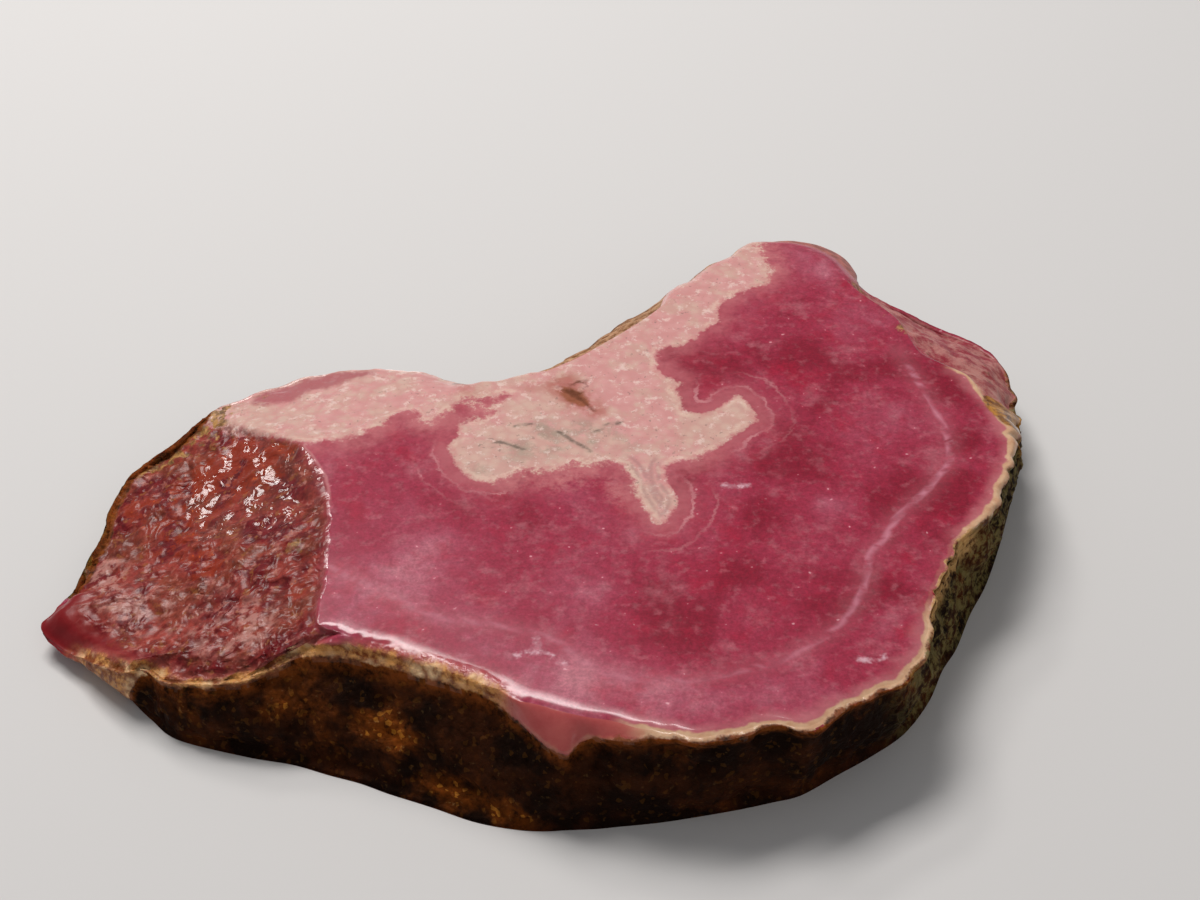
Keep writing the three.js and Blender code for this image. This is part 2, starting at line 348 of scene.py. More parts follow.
def between(first, last, soft=1.0):
    """1 for the columns from one station to another, going round anticlockwise, easing to 0 outside."""
    round_trip = len(STATIONS)
    half = ((last - first) % round_trip) / 2
    middle = first + half
    away = np.abs((station_of_column - middle + round_trip / 2) % round_trip - round_trip / 2)
    return 1 - eased(away, half, half + soft)


print("noise at the origin:", rolling(np.zeros((1, 3)), 1.0, 1).round(3))

# %% [markdown]
# ## A ragged rim
# On the right the edge wanders in and out in small rounded lobes with sharp notches, because the rind
# there is a row of tiny crystal knobs. At the rear the pale layer ends in small knobs too. Moving the face
# edge and the rim together, sideways only, keeps the polished face level and the edge between them narrow.

# %% Ragged rim
SCALLOP = 0.75
KNOBBLY = 0.24
RAGGED = 0.16
CHIPPED = 0.3
along = np.roll(foot, -1, axis=0) - np.roll(foot, 1, axis=0)
outward = np.stack([along[:, 1], -along[:, 0], np.zeros(COLUMNS)], -1)
outward /= np.linalg.norm(outward, axis=1, keepdims=True)
wander = SCALLOP * (np.abs(rolling(rim, 1.4, 11)) - 0.4) * between(27, 34, 2)
wander += 0.5 * SCALLOP * (np.abs(rolling(rim, 1.9, 14)) - 0.4) * between(17, 25, 2)
wander += KNOBBLY * rubble(rim, 1.8, 12, 2) * between(45, 54, 2)
wander += RAGGED * rubble(rim, 1.5, 13, 3) * between(54, 13, 2)
shoulder_width = np.linalg.norm((rim - face_edge)[:, :2], axis=1)
face_edge += outward * (wander * (1 - eased(shoulder_width, 0.8, 2.5)))[:, None]
rim += outward * wander[:, None]
face_edge += outward * (CHIPPED * rubble(face_edge, 2.4, 15, 3) * between(66, 7, 1.5))[:, None]
face_edge[:, 2] = THICKNESS
print("the rim wanders by up to", round(float(np.abs(wander).max()), 2), "mm")

# %% [markdown]
# ## The skin as a grid
# Every column is one walk over the stone, and every row one ring round it. Four zones follow each other:
# the face, the shoulder down to the rim, the wall down to the foot, and the underside. Each zone is a
# function of the column and of t, which runs from 0 to 1 across the zone, so the rows can be packed
# closely where the relief is fine and loosely where the stone is flat.

# %% Zones
FACE_ROWS, EDGE_ROWS, SHOULDER_ROWS, WALL_ROWS, UNDERSIDE_ROWS = 36, 6, 62, 27, 11
EDGE_SHARE = 0.025
STRAIGHT_FALL = 1.15
ROUNDED_FALL = 1.1
NARROW_SHOULDER = 3.0
WALL_BULGE = 0.7
CHIP_DEPTH = 2.0
TIP_BROW = 0.7


def steps_to_one(rows):
    """The fractions 1/rows, 2/rows and so on, up to 1."""
    return np.arange(1, rows + 1) / rows


face_steps = np.concatenate([
    steps_to_one(FACE_ROWS) * (1 - EDGE_SHARE),
    1 - EDGE_SHARE + steps_to_one(EDGE_ROWS) * EDGE_SHARE,
])
zone_steps = {
    "face": face_steps,
    "shoulder": steps_to_one(SHOULDER_ROWS),
    "wall": steps_to_one(WALL_ROWS),
    "underside": steps_to_one(UNDERSIDE_ROWS),
}


def face_zone(t):
    """Straight from the hub to the face edge, all at the height of the face."""
    hub = np.append(HUB, THICKNESS)
    return hub + (face_edge - hub) * t


def shoulder_zone(t):
    """Straight from face edge to rim in plan. The height falls from the face to the rim by t to a power:
    near 1 on a wide shoulder, which runs straight, and above 2 on a narrow one, which rolls over. Near
    the tip a brow is added, a hump that peaks at t = 0.9, so that the last stretch is a steep facet."""
    level = face_edge + (rim - face_edge) * t
    width = np.linalg.norm((rim - face_edge)[:, :2], axis=1)
    fall = STRAIGHT_FALL + ROUNDED_FALL * np.exp(-width / NARROW_SHOULDER)
    height = rim[:, 2] + (THICKNESS - rim[:, 2]) * (1 - t[..., 0] ** fall)
    brow = TIP_BROW * between(69, 3, 1) * eased(t[..., 0], 0.6, 0.9) * (1 - eased(t[..., 0], 0.92, 1.0))
    return np.dstack([level[..., 0], level[..., 1], height + brow])


def wall_zone(t):
    """Straight from rim to foot, pushed outwards by a bulge times sin(pi t)."""
    return rim + (foot - rim) * t + outward * (WALL_BULGE * np.sin(math.pi * t))


def underside_zone(t):
    """Straight from the foot to the hub. The chip under the tip closes in the first half of the way."""
    hub = np.append(HUB, 0.0)
    level = foot + (hub - foot) * t
    height = foot[:, 2] * np.maximum(1 - CHIP_DEPTH * t[..., 0], 0)
    return np.dstack([level[..., 0], level[..., 1], height])


zone_place = {"face": face_zone, "shoulder": shoulder_zone, "wall": wall_zone, "underside": underside_zone}
base_skin = np.concatenate([zone_place[zone](t[:, None, None]) for zone, t in zone_steps.items()])[:-1]
row_zone = np.repeat(list(zone_steps), [len(t) for t in zone_steps.values()])[:-1]
row_t = np.concatenate(list(zone_steps.values()))[:-1]
walk = np.cumsum(np.linalg.norm(np.diff(base_skin, axis=0, prepend=base_skin[:1]), axis=-1), axis=0)
down_mm = walk - walk[row_zone == "shoulder"][-1]
past_edge_mm = walk - walk[row_zone == "face"][-1]
print("skin of", base_skin.shape[0], "rings and", base_skin.shape[1], "columns")

# %% [markdown]
# ## The relief
# The polished face stays dead level. The break on the left is glossy and dimpled: shallow bowls that meet
# in sharp, curly ridges, which is how this brittle stone parts. Lower down it breaks along its cleavage,
# in small flat facets that lean every way. The crust on the wall is a jumble of brown grains and pits.
# All relief is cut inwards from the smooth skin, so the stone never grows out of its solid.

# %% Relief
BOWL_SIZE, BOWL_DEPTH = 1.6, 0.45
FACET_SIZE, FACET_LEAN = 0.9, 0.55
CRUST_DEPTH = 0.6
ROLL_WIDTH, ROLL_SLOPE = 0.75, 0.42
DIMPLED_MIDDLE, DIMPLED_REACH = (-21.4, -0.4), (5.6, 5.8)


def warped(points, size, reach, seed):
    """Moves each point by three rolling noises, so that straight borders between cells turn curly."""
    return points + reach * np.stack([rolling(points, size, seed + k) for k in range(3)], -1)


def dimpled(points):
    """Bowls: the square of the distance to the nearest seed, deepest in the middle of each bowl."""
    bowl, _, _ = nearest_seeds(warped(points, 1.6, 0.5, 21), BOWL_SIZE, 24)
    small, _, _ = nearest_seeds(warped(points, 0.8, 0.25, 31), BOWL_SIZE / 2, 34)
    return BOWL_DEPTH * (bowl**2 - 0.8) + 0.25 * BOWL_DEPTH * (small**2 - 0.8)


def cleaved(points, size, lean, seed):
    """Flat facets: in each cell the height runs straight, along a lean picked by the cell's number."""
    _, step, number = nearest_seeds(points, size, seed)
    turn = number * 2 * math.pi * 7
    run = step[..., 0] * np.cos(turn) + step[..., 1] * np.sin(turn)
    run += 0.5 * step[..., 2] * np.sin(2 * turn)
    return size * lean * (run - 0.5) * (0.4 + 0.6 * number)


def crusted(points):
    """Grains: lumps about 2.5 mm wide, broken by facets of 0.9 mm, with pits where a third noise dips."""
    lumps = rubble(points, 2.6, 41, 4)
    grains = cleaved(points, 0.9, 0.35, 45)
    pits = eased(rolling(points, 1.7, 48), 0.35, 0.8)
    return CRUST_DEPTH * (0.5 * lumps - 0.75) + 0.8 * grains - 0.35 * pits


x, y, z = (base_skin[..., k] for k in range(3))
zone_is = {zone: (row_zone == zone)[:, None] for zone in zone_steps}
t_here = row_t[:, None]
on_break = zone_is["shoulder"] * between(62.3, 7.5, 0.7) * np.ones_like(t_here)
on_shelf = zone_is["shoulder"] * between(34, 41, 1)
on_rear_strip = zone_is["shoulder"] * between(49.5, 52.5, 1)
on_facet = zone_is["shoulder"] * between(55, 61.5, 0.7)
dimples_x, dimples_y = ((k - m) / r for k, m, r in zip((x, y), DIMPLED_MIDDLE, DIMPLED_REACH))
from_dimples = np.hypot(dimples_x, dimples_y)
dimples_here = 1 - eased(from_dimples, 0.75, 1.15)
plain_start = 0.05 + 0.17 * between(61, 65.5, 1.5)
from_edge = eased(t_here / plain_start, 0.2, 1.0)
near_crystals = (zone_is["wall"] + 0.7 * zone_is["shoulder"]) * between(27.2, 29.2, 1)

flat_points = base_skin.reshape(-1, 3)
dimple_relief = dimpled(flat_points).reshape(x.shape)
cleaved_relief = cleaved(flat_points, FACET_SIZE, FACET_LEAN, 51).reshape(x.shape)
crust_relief = crusted(flat_points).reshape(x.shape)
fine_relief = rubble(flat_points, 0.9, 61, 3).reshape(x.shape)
slow_relief = rubble(flat_points, 5.0, 65, 2).reshape(x.shape)
shelf_relief = rubble(flat_points, 1.8, 68, 2).reshape(x.shape)

rough_break = dimples_here * dimple_relief
rough_break += (1 - dimples_here) * (0.5 * cleaved_relief + 0.12 * fine_relief)
bare_tip = 1 - between(69, 3.2, 0.8)
tip_facet = zone_is["shoulder"] * (1 - bare_tip) * eased(t_here, 0.8, 0.93)
relief = on_break * from_edge * (1 - 0.85 * tip_facet) * (rough_break + 0.3 * (slow_relief - 1))
relief += on_shelf * from_edge * (0.22 * (shelf_relief - 1) + 0.15 * (slow_relief - 1))
relief += on_rear_strip * from_edge * 0.35 * crust_relief
front_lumps = zone_is["shoulder"] * between(1.5, 12.5, 1) * eased(t_here, 0.55, 0.95)
relief += front_lumps * np.minimum(shoulder_width, 2.0) * 0.2 * crust_relief
relief += on_facet * from_edge * (0.06 * (fine_relief - 1) + 0.12 * (slow_relief - 1))
wall_ends = eased(t_here, 0.0, 0.12) * (1 - eased(t_here, 0.93, 1.0))
relief += zone_is["wall"] * wall_ends * crust_relief * (0.25 + 0.75 * bare_tip)
relief += near_crystals * eased(t_here, 0.5, 0.9) * zone_is["shoulder"] * 0.5 * crust_relief

down_rows = np.gradient(base_skin, axis=0)
round_columns = np.roll(base_skin, -1, axis=1) - np.roll(base_skin, 1, axis=1)
normal = np.cross(down_rows, round_columns)
normal /= np.maximum(np.linalg.norm(normal, axis=-1, keepdims=True), 1e-9)
skin = base_skin + normal * relief[..., None]

rolled = between(7.5, 27, 1.5) * ROLL_SLOPE
roll_on_face = (np.clip(past_edge_mm + ROLL_WIDTH, 0, ROLL_WIDTH) ** 2) / (2 * ROLL_WIDTH)
roll_on_shoulder = ROLL_WIDTH / 2 * (1 - t_here) + np.minimum(shoulder_width, 1) * t_here * (1 - t_here)
skin[..., 2] -= rolled * (zone_is["face"] * roll_on_face + zone_is["shoulder"] * roll_on_shoulder)
skin[..., 2] = np.clip(skin[..., 2], 0, THICKNESS)
print("relief from", round(float(relief.min()), 2), "to", round(float(relief.max()), 2), "mm")

# %% [markdown]
# ## Markings as distances
# The markings follow the growth of the stone: a pale centre with lobes, fine lines at fixed distances
# outside it, a long pale arc, and a cream line under the rind. Painting them would tie them to one view.
# Instead each point of the skin stores how far it is, in mm, from each outline, and the materials turn
# those distances into lines of any width, with ragged or soft edges.

# %% Outlines of the markings
PALE_CENTRE = [
    (-7.0, 4.2), (-6.8, 3.2), (-7.4, 2.2), (-7.3, 1.0), (-6.9, 0.0), (-6.5, -0.8), (-5.6, -1.7),
    (-4.6, -2.2), (-3.7, -2.2), (-3.0, -1.6), (-2.2, -1.0), (-1.0, -0.9), (0.3, -0.9), (1.3, -0.6),
    (2.0, -0.1), (3.0, -0.2), (4.0, 0.1), (5.0, -0.2), (5.5, -0.9), (5.9, -2.4), (6.4, -4.0),
    (6.9, -5.3), (7.3, -6.3), (7.8, -6.7), (8.3, -6.1), (8.9, -5.2), (9.1, -4.2), (9.0, -3.2),
    (8.6, -2.4), (8.4, -1.3), (8.4, -0.4), (9.2, 0.1), (10.1, 0.2), (11.2, 0.9), (12.3, 1.7),
    (13.0, 2.6), (13.9, 3.6), (14.6, 4.3), (15.2, 4.7), (15.2, 5.6), (14.9, 6.6), (14.5, 7.4),
    (13.9, 7.9), (13.2, 7.3), (12.7, 6.6), (12.1, 5.9), (11.0, 5.9), (9.9, 6.0), (9.7, 6.8),
    (9.6, 7.6), (9.3, 8.6), (9.9, 9.3), (9.3, 9.8), (8.6, 10.4), (8.1, 11.2), (8.0, 12.2),
    (8.2, 13.3), (9.2, 13.9), (10.2, 14.2), (11.0, 15.0), (11.6, 16.0), (12.6, 16.7), (13.1, 17.3),
    (12.9, 18.4), (13.1, 19.3), (13.8, 20.2), (14.6, 20.9), (15.7, 21.6), (16.8, 22.2), (17.6, 23.3),
    (17.6, 24.5), (17.1, 25.8), (17.0, 27.0), (17.2, 28.6), (16.5, 32.0), (10.0, 29.0), (3.0, 22.0),
    (-4.0, 15.0), (-9.0, 15.5), (-18.0, 15.5), (-25.0, 12.5), (-28.0, 9.0), (-26.6, 7.4), (-25.0, 5.9),
    (-22.8, 4.75), (-20.7, 4.0), (-18.6, 2.5), (-17.5, 2.2), (-16.5, 2.5), (-15.5, 2.6), (-14.5, 3.0),
    (-13.5, 3.6), (-12.5, 4.4), (-12.0, 5.2), (-11.0, 6.1), (-10.4, 6.0), (-9.9, 5.2), (-9.2, 4.4),
    (-8.6, 4.8), (-7.9, 5.6), (-7.2, 6.6), (-6.7, 7.6), (-6.2, 7.0), (-6.0, 6.2), (-5.6, 6.6),
    (-5.0, 7.6), (-4.0, 8.0), (-3.0, 8.0), (-3.6, 7.4), (-4.4, 6.8), (-4.7, 5.8), (-5.6, 5.2), (-6.4, 4.8),
]
LONG_ARC = [
    (26.6, 13.4), (27.0, 12.2), (27.3, 11.2), (27.6, 10.0), (28.2, 8.0), (28.6, 6.0), (29.0, 4.0),
    (29.1, 2.0), (28.8, 0.0), (27.8, -1.5), (26.8, -3.0), (25.5, -4.5), (24.3, -6.0), (23.3, -8.0),
    (22.2, -9.5), (21.8, -11.0), (21.3, -13.0), (20.6, -14.5), (19.6, -16.2), (18.0, -17.8),
    (16.0, -19.3), (14.0, -20.2), (11.5, -21.0), (9.0, -21.5), (6.5, -21.4), (4.0, -20.8), (2.0, -19.4),
    (0.8, -17.9), (-1.5, -17.0), (-3.6, -16.4), (-5.5, -16.1), (-7.7, -15.5), (-11.2, -13.2), (-13.7, -11.7),
    (-15.0, -10.6),
]
CREST_BAND = [
    (-22.9, 9.4), (-21.4, 8.8), (-19.9, 8.9), (-18.9, 10.1), (-17.8, 10.5), (-16.3, 10.9), (-15.3, 11.7),
    (-13.8, 12.1), (-14.5, 12.7), (-17.3, 12.6), (-19.4, 12.0), (-21.4, 11.2), (-22.9, 10.1),
]
NEEDLES = [
    [(-4.3, 1.9), (-4.0, 2.5), (-3.0, 2.1), (-1.9, 1.5)],
    [(0.5, 3.6), (1.4, 2.7), (2.9, 1.4)],
    [(3.0, 3.3), (4.2, 4.4), (5.2, 4.6)],
    [(-2.6, 4.2), (-1.4, 4.5)],
]
RUST_LINES = [
    [(0.3, 8.9), (1.0, 8.4), (1.7, 7.7), (2.6, 6.9), (3.2, 6.0)],
    [(1.7, 7.8), (1.5, 9.0), (2.1, 9.7)],
    [(1.7, 7.8), (0.3, 9.9)],
    [(1.8, 7.8), (2.5, 8.8), (2.7, 9.8)],
    [(1.2, 7.3), (1.7, 7.7), (2.4, 7.5)],
    [(-7.6, 10.2), (-6.4, 9.9), (-5.6, 9.7)],
]
WHITE_CRACKS = [
    [(-2.2, -19.4), (-1.1, -18.9), (0.3, -19.2), (1.4, -20.1)],
    [(-0.6, -17.6), (-0.3, -19.1)],
    [(20.2, -19.6), (21.3, -19.7), (22.1, -19.3)],
    [(12.4, -2.4), (13.4, -2.6), (14.2, -2.4)],
]


# %% Distances
def distance_to_path(points, path, closed=False):
    """For each straight stretch from a to b: the nearest place is a + s (b - a), with s held from 0 to 1.
    The least distance over all stretches is kept, with how far along the path it lies, from 0 to 1."""
    path = np.asarray(path, dtype=float)
    ends = np.roll(path, -1, axis=0) if closed else path[1:]
    starts = path if closed else path[:-1]
    least = np.full(len(points), 1e9)
    along_path = np.zeros(len(points))
    for k, (a, b) in enumerate(zip(starts, ends)):
        run = b - a
        s = np.clip((points - a) @ run / max(run @ run, 1e-12), 0, 1)
        distance = np.hypot(*(points - a - s[:, None] * run).T)
        nearer = distance < least
        along_path = np.where(nearer, (k + s) / len(starts), along_path)
        least = np.where(nearer, distance, least)
    return least, along_path


def inside_loop(points, loop):
    """True where a line running from the point along +X crosses the loop an odd number of times."""
    odd = np.zeros(len(points), dtype=bool)
    for (ax, ay), (bx, by) in zip(loop, np.roll(loop, -1, axis=0)):
        crosses = (ay > points[:, 1]) != (by > points[:, 1])
        reach = ax + (points[:, 1] - ay) / (by - ay if by != ay else 1e-12) * (bx - ax)
        odd ^= crosses & (points[:, 0] < reach)
    return odd


def signed_distance(points, outline):
    """Distance to a closed outline, taken negative inside it."""
    loop = smooth_curve(outline, even_places(len(outline), 3))
    distance, _ = distance_to_path(points, loop, True)
    return np.where(inside_loop(points, loop), -distance, distance)


def nearest_of(points, lines):
    """The distance to the nearest of several drawn lines."""
    return np.min([distance_to_path(points, line)[0] for line in lines], axis=0)


def soft_spots(points, spots):
    """Adds up round spots (x, y, radius, height), each falling off as exp(-(distance / radius)^2)."""
    total = np.zeros(len(points))
    for cx, cy, radius, height in spots:
        total += height * np.exp(-((points[:, 0] - cx) ** 2 + (points[:, 1] - cy) ** 2) / radius**2)
    return total


SPOTS = {
    # Spots with a negative height lighten the pink. Those along the front edge, below about y = -14, give a
    # milky band that is partly the stone's own and partly painted sheen, carrying on the lamp's reflection
    # at the front left.
    "depth": [
        (12.5, -11.5, 2.2, 1.0), (20.0, 13.5, 2.5, 0.9), (12.0, 11.5, 2.2, 0.9), (15.0, 13.5, 2.5, 0.5),
        (26.5, -6.5, 2.2, 0.8), (30.0, 8.5, 1.9, 1.2), (30.6, 3.0, 1.6, 1.2), (17.0, -0.5, 2.2, 0.7),
        (8.0, -17.0, 2.6, 0.7), (16.0, -17.0, 2.4, 0.5), (-12.5, -1.0, 2.6, 0.5), (-3.0, -6.5, 3.0, 0.3),
        (31.4, 5.8, 1.8, 0.9), (29.4, -1.8, 1.8, 0.8), (30.0, 2.2, 1.8, 1.2), (28.4, -4.6, 1.6, 0.8),
        (22.0, 6.0, 2.4, 0.4), (18.5, 3.6, 1.8, 0.4), (19.0, -12.0, 2.2, 0.5), (23.0, 9.8, 2.6, 0.8),
        (15.0, -6.5, 2.2, 0.6), (24.5, -13.5, 1.6, 0.6), (-8.0, -12.0, 4.0, -0.5), (2.0, -13.5, 3.0, -0.45),
        (24.5, 5.0, 2.6, -0.3), (20.0, -5.0, 2.2, -0.8), (22.0, 0.5, 1.2, -0.5), (14.0, -14.5, 1.8, -0.3),
        (24.0, 16.5, 3.0, -0.35), (-10.0, -14.5, 3.2, -0.6), (8.0, -23.0, 3.5, -1.2),
        (16.0, -22.0, 3.0, -1.1), (1.0, -2.6, 2.6, -0.9), (7.0, -8.5, 2.2, -0.5), (-12.5, -15.0, 2.6, -0.8),
        (-5.0, -18.5, 3.0, -0.4), (19.8, -4.8, 1.6, -0.9), (1.5, -21.5, 2.6, -1.0), (22.5, -17.0, 2.4, -0.6),
        (20.0, 26.0, 3.5, -0.45), (-2.0, -19.0, 4.0, -0.5), (28.0, 14.0, 1.5, -0.5), (-5.0, -9.5, 3.0, -0.3),
    ],
    "bloom": [
        (-2.5, -2.0, 1.8, 0.7), (0.5, -2.4, 2.2, 1.0), (3.2, -1.8, 2.4, 1.0), (4.6, -4.2, 1.8, 0.8),
        (-5.2, 6.4, 2.0, 1.2), (-9.5, 4.5, 2.0, 0.8), (-14.0, 2.6, 2.2, 0.7), (11.0, 0.0, 1.8, 0.6),
        (17.2, 25.5, 2.4, 1.2), (16.4, 28.6, 2.4, 1.0), (14.6, 21.4, 1.5, 0.5), (8.6, 12.4, 1.2, 0.4),
    ],
    "grey": [
        (-5.0, 0.3, 2.2, 0.7), (-0.5, 2.6, 2.6, 1.0), (3.5, 3.4, 2.0, 0.9), (11.5, 3.2, 2.4, 0.45),
        (6.5, 1.6, 1.6, 0.5), (7.0, 13.0, 1.6, 0.5), (-20.0, 6.5, 2.5, 0.3),
    ],
    "stripes": [(6.6, 0.5, 1.3, 0.7), (6.9, -1.2, 1.4, 1.0), (7.3, -3.0, 1.5, 1.0), (7.9, -5.0, 1.3, 0.8)],
    "salmon": [
        (2.0, 7.2, 1.6, 1.0), (0.5, 8.9, 1.3, 0.8), (3.4, 5.9, 1.0, 0.7), (1.0, 10.0, 1.3, 0.6),
        (-2.0, 8.6, 1.2, 0.5), (-6.4, 8.4, 1.6, 0.6), (9.4, 3.0, 0.8, 0.4),
    ],
    "ringed": [
        (-6.6, -1.2, 3.2, 1.3), (-3.2, -3.0, 1.8, 0.5), (14.6, 5.0, 3.6, 1.2), (16.0, 9.5, 2.4, 0.5),
        (10.2, -4.6, 3.0, 0.9), (8.4, -8.8, 2.2, 0.5), (10.6, 7.6, 1.8, 0.7), (-11.5, 5.2, 1.6, 0.5),
    ],
    "rosy": [
        (4.0, 9.5, 3.2, 1.0), (7.0, 13.5, 3.0, 0.9), (11.5, 18.5, 3.6, 1.0), (15.0, 22.5, 3.0, 0.7),
        (-9.0, 9.5, 2.5, 0.6), (6.8, 5.0, 2.0, 0.8), (-17.0, 8.0, 3.0, 0.3), (-4.5, 0.5, 3.4, -1.2),
        (0.0, 2.5, 3.4, -0.9), (12.5, 4.0, 3.2, -1.1), (-21.0, 6.0, 2.6, -0.8),
    ],
    "rust": [(1.7, 7.7, 0.8, 1.2), (2.4, 6.9, 0.5, 0.8), (0.9, 8.5, 0.55, 0.8), (-6.6, 10.0, 1.0, 0.8)],
    "orange": [
        (-22.5, 2.6, 3.4, 1.0), (-25.0, 1.0, 2.5, 0.7), (-27.0, -4.0, 2.5, 0.6), (-20.6, 1.8, 1.6, 0.7),
        (-24.0, -7.5, 2.2, 0.6), (-18.4, -6.5, 1.5, 0.4), (-17.0, -12.0, 1.5, 0.5), (-30.0, 0.0, 2.2, 0.6),
    ],
    "ochre": [
        (-27.2, 6.9, 1.9, 1.1), (-29.2, 5.0, 1.6, 0.9), (-31.0, 4.0, 1.0, 0.7), (-25.6, 8.6, 1.6, 1.0),
        (-24.6, 4.8, 1.3, 0.5), (-17.6, -8.0, 1.0, 0.6), (-33.0, -3.0, 0.6, 0.5), (-34.0, -7.0, 0.6, 0.5),
        (-22.5, 9.9, 1.2, 0.5),
        (27.6, 16.4, 1.0, 0.7), (26.4, 18.6, 0.9, 0.7), (24.6, 22.6, 1.1, 0.6), (-6.4, 10.6, 1.0, 0.8),
    ],
    "lump": [(33.9, 6.7, 1.3, 1.4), (34.6, 5.2, 1.2, 1.2), (33.2, 7.8, 0.8, 0.8), (35.4, 7.4, 1.0, 1.0)],
    # Pale whitish spots on the lower break, partly painted sheen: the small one at (-22.2, -6.6) paints a
    # flat facet that catches the lamp.
    "frost_and_sheen": [
        (-31.8, -6.2, 1.6, 1.0), (-31.3, -8.4, 1.5, 0.8), (-19.9, -13.5, 1.8, 0.75),
        (-19.6, -16.0, 1.6, 0.7), (-22.2, -6.6, 0.8, 0.5), (-26.5, -10.5, 2.0, 0.5),
        (-29.0, -10.8, 2.0, 0.7), (-22.5, -15.5, 2.0, 0.5), (-24.0, -13.0, 2.5, 0.4),
        (-32.4, -3.6, 1.2, 0.6),
    ],
}
WALL_GOLD_SPOTS = [
    (-10.6, 8.4, 2.4, 1.0), (-6.6, 2.4, 2.8, 1.0), (-1.8, 1.8, 2.2, 0.7), (-17.0, 9.0, 2.4, 0.6),
    (-24.0, 6.5, 2.2, 0.6), (-14.0, 4.0, 2.0, 0.4), (8.0, 13.0, 2.5, 0.4), (20.0, 13.5, 2.5, 0.4),
]
WALL_STRETCH = 2.2

points = flat_points[:, :2]
pale_mm = signed_distance(points, PALE_CENTRE)
arc_curve = smooth_curve(LONG_ARC, even_places(len(LONG_ARC) - 1, 3), closed=False)
arc_mm, arc_along = distance_to_path(points, arc_curve)
rim_loop = face_edge[::2, :2]
inwards_mm, _ = distance_to_path(points, rim_loop, True)
inwards_mm = np.where(inside_loop(points, rim_loop), inwards_mm, -inwards_mm)
print("pale centre reaches", round(float(-pale_mm.min()), 1), "mm inside its outline")

# %% [markdown]
# ## Closing the skin
# The rings become one closed mesh: four-sided faces between neighbouring rings, and a fan of triangles at
# the hub of the face and at the hub of the underside. The walk runs from the upper hub to the lower one and
# the columns go round anticlockwise, so that every face looks outwards. The distances are stored with the
# points, under plain names that the materials ask for.

# %% Mesh
rings, columns = skin.shape[:2]
column = np.arange(columns)
following = (column + 1) % columns
first_of_ring = 1 + np.arange(rings - 1)[:, None] * columns
quads = np.stack([
    first_of_ring + column,
    first_of_ring + columns + column,
    first_of_ring + columns + following,
    first_of_ring + following,
], -1).reshape(-1, 4)
last = 1 + rings * columns
top_fan = np.stack([np.zeros_like(column), 1 + column, 1 + following], -1)
last_ring = 1 + (rings - 1) * columns
bottom_fan = np.stack([np.full_like(column, last), last_ring + following, last_ring + column], -1)

hubs = np.array([np.append(HUB, THICKNESS), np.append(HUB, 0.0)])
all_points = np.concatenate([hubs[:1], skin.reshape(-1, 3), hubs[1:]])
placed = (all_points - BOX_MIDDLE) * MM
placed = np.clip(placed, np.array(cad_box[0]), np.array(cad_box[1]))
stone_mesh = bpy.data.meshes.new("rhodochrosite_skin")
stone_mesh.from_pydata(placed, [], top_fan.tolist() + quads.tolist() + bottom_fan.tolist())
stone_mesh.update()
stone = bpy.data.objects.new("rhodochrosite_skin", stone_mesh)
bpy.context.collection.objects.link(stone)
stone_mesh.polygons.foreach_set("use_smooth", np.ones(len(stone_mesh.polygons), dtype=bool))

face_ring = int(np.flatnonzero(row_zone == "face")[-1])
edge_points = np.empty(2 * len(stone_mesh.edges), dtype=np.int32)
stone_mesh.edges.foreach_get("vertices", edge_points)
edge_ring, edge_column = np.divmod(edge_points.reshape(-1, 2) - 1, columns)
crisp = (edge_ring == face_ring).all(axis=1) & (between(61.5, 7.5, 0.1) > 0.5)[edge_column].all(axis=1)
stone_mesh.edges.foreach_set("use_edge_sharp", crisp)


print(len(stone_mesh.vertices), "points;", 2 * columns + 2 * len(quads), "triangles")


# %% Stored numbers
def store(name, values, at_hubs=0.0):
    """Stores one number per point, with one value for the two hubs added at both ends."""
    attribute = stone_mesh.attributes.new(name, "FLOAT", "POINT")
    attribute.data.foreach_set("value", np.concatenate([[at_hubs], np.ravel(values), [at_hubs]]))


FAR_MM = 20.0
everywhere = np.ones_like(x)
store("pale_mm", pale_mm, float(signed_distance(HUB[None, :], PALE_CENTRE)[0]))
store("arc_mm", arc_mm, FAR_MM)
store("arc_along", arc_along)
store("crest_mm", signed_distance(points, CREST_BAND), FAR_MM)
store("inwards_mm", inwards_mm, FAR_MM)
store("down_mm", down_mm, -FAR_MM)
store("needle_mm", nearest_of(points, NEEDLES), FAR_MM)
store("rust_mm", nearest_of(points, RUST_LINES), FAR_MM)
store("crack_mm", nearest_of(points, WHITE_CRACKS), FAR_MM)
for name, spots in SPOTS.items():
    fade = eased(flat_points[:, 2], 2.8, 5.0) if name == "lump" else 1.0
    store(name, fade * soft_spots(points, spots))
wall_points = np.c_[flat_points[:, 0], WALL_STRETCH * flat_points[:, 2]]
gold = soft_spots(wall_points, WALL_GOLD_SPOTS).reshape(x.shape) * (y < -12)
rear_gold = (0.6 * between(47, 54, 2) + 0.35 * between(54, 68, 2)) * eased(-z, -8.0, -4.0)
store("gold", gold + rear_gold * (zone_is["wall"] + zone_is["shoulder"]))
store("broken", on_break * eased(t_here, 0.0, 0.02))
store("shelf", on_shelf * eased(t_here, 0.0, 0.15))
store("lobe", zone_is["shoulder"] * between(42, 45.5, 1) * eased(t_here, 0.1, 0.7))
crust_start = 0.3 - 0.4 * between(17, 35, 1) - 0.9 * between(62, 68, 1)
crust_start = crust_start - 3.6 * between(50, 52, 0.8) - 0.8 * between(46, 53, 1)
crust_start = crust_start + 2.5 * (1 - bare_tip) - 0.5 * near_crystals - 0.3 * between(17.5, 26, 1)
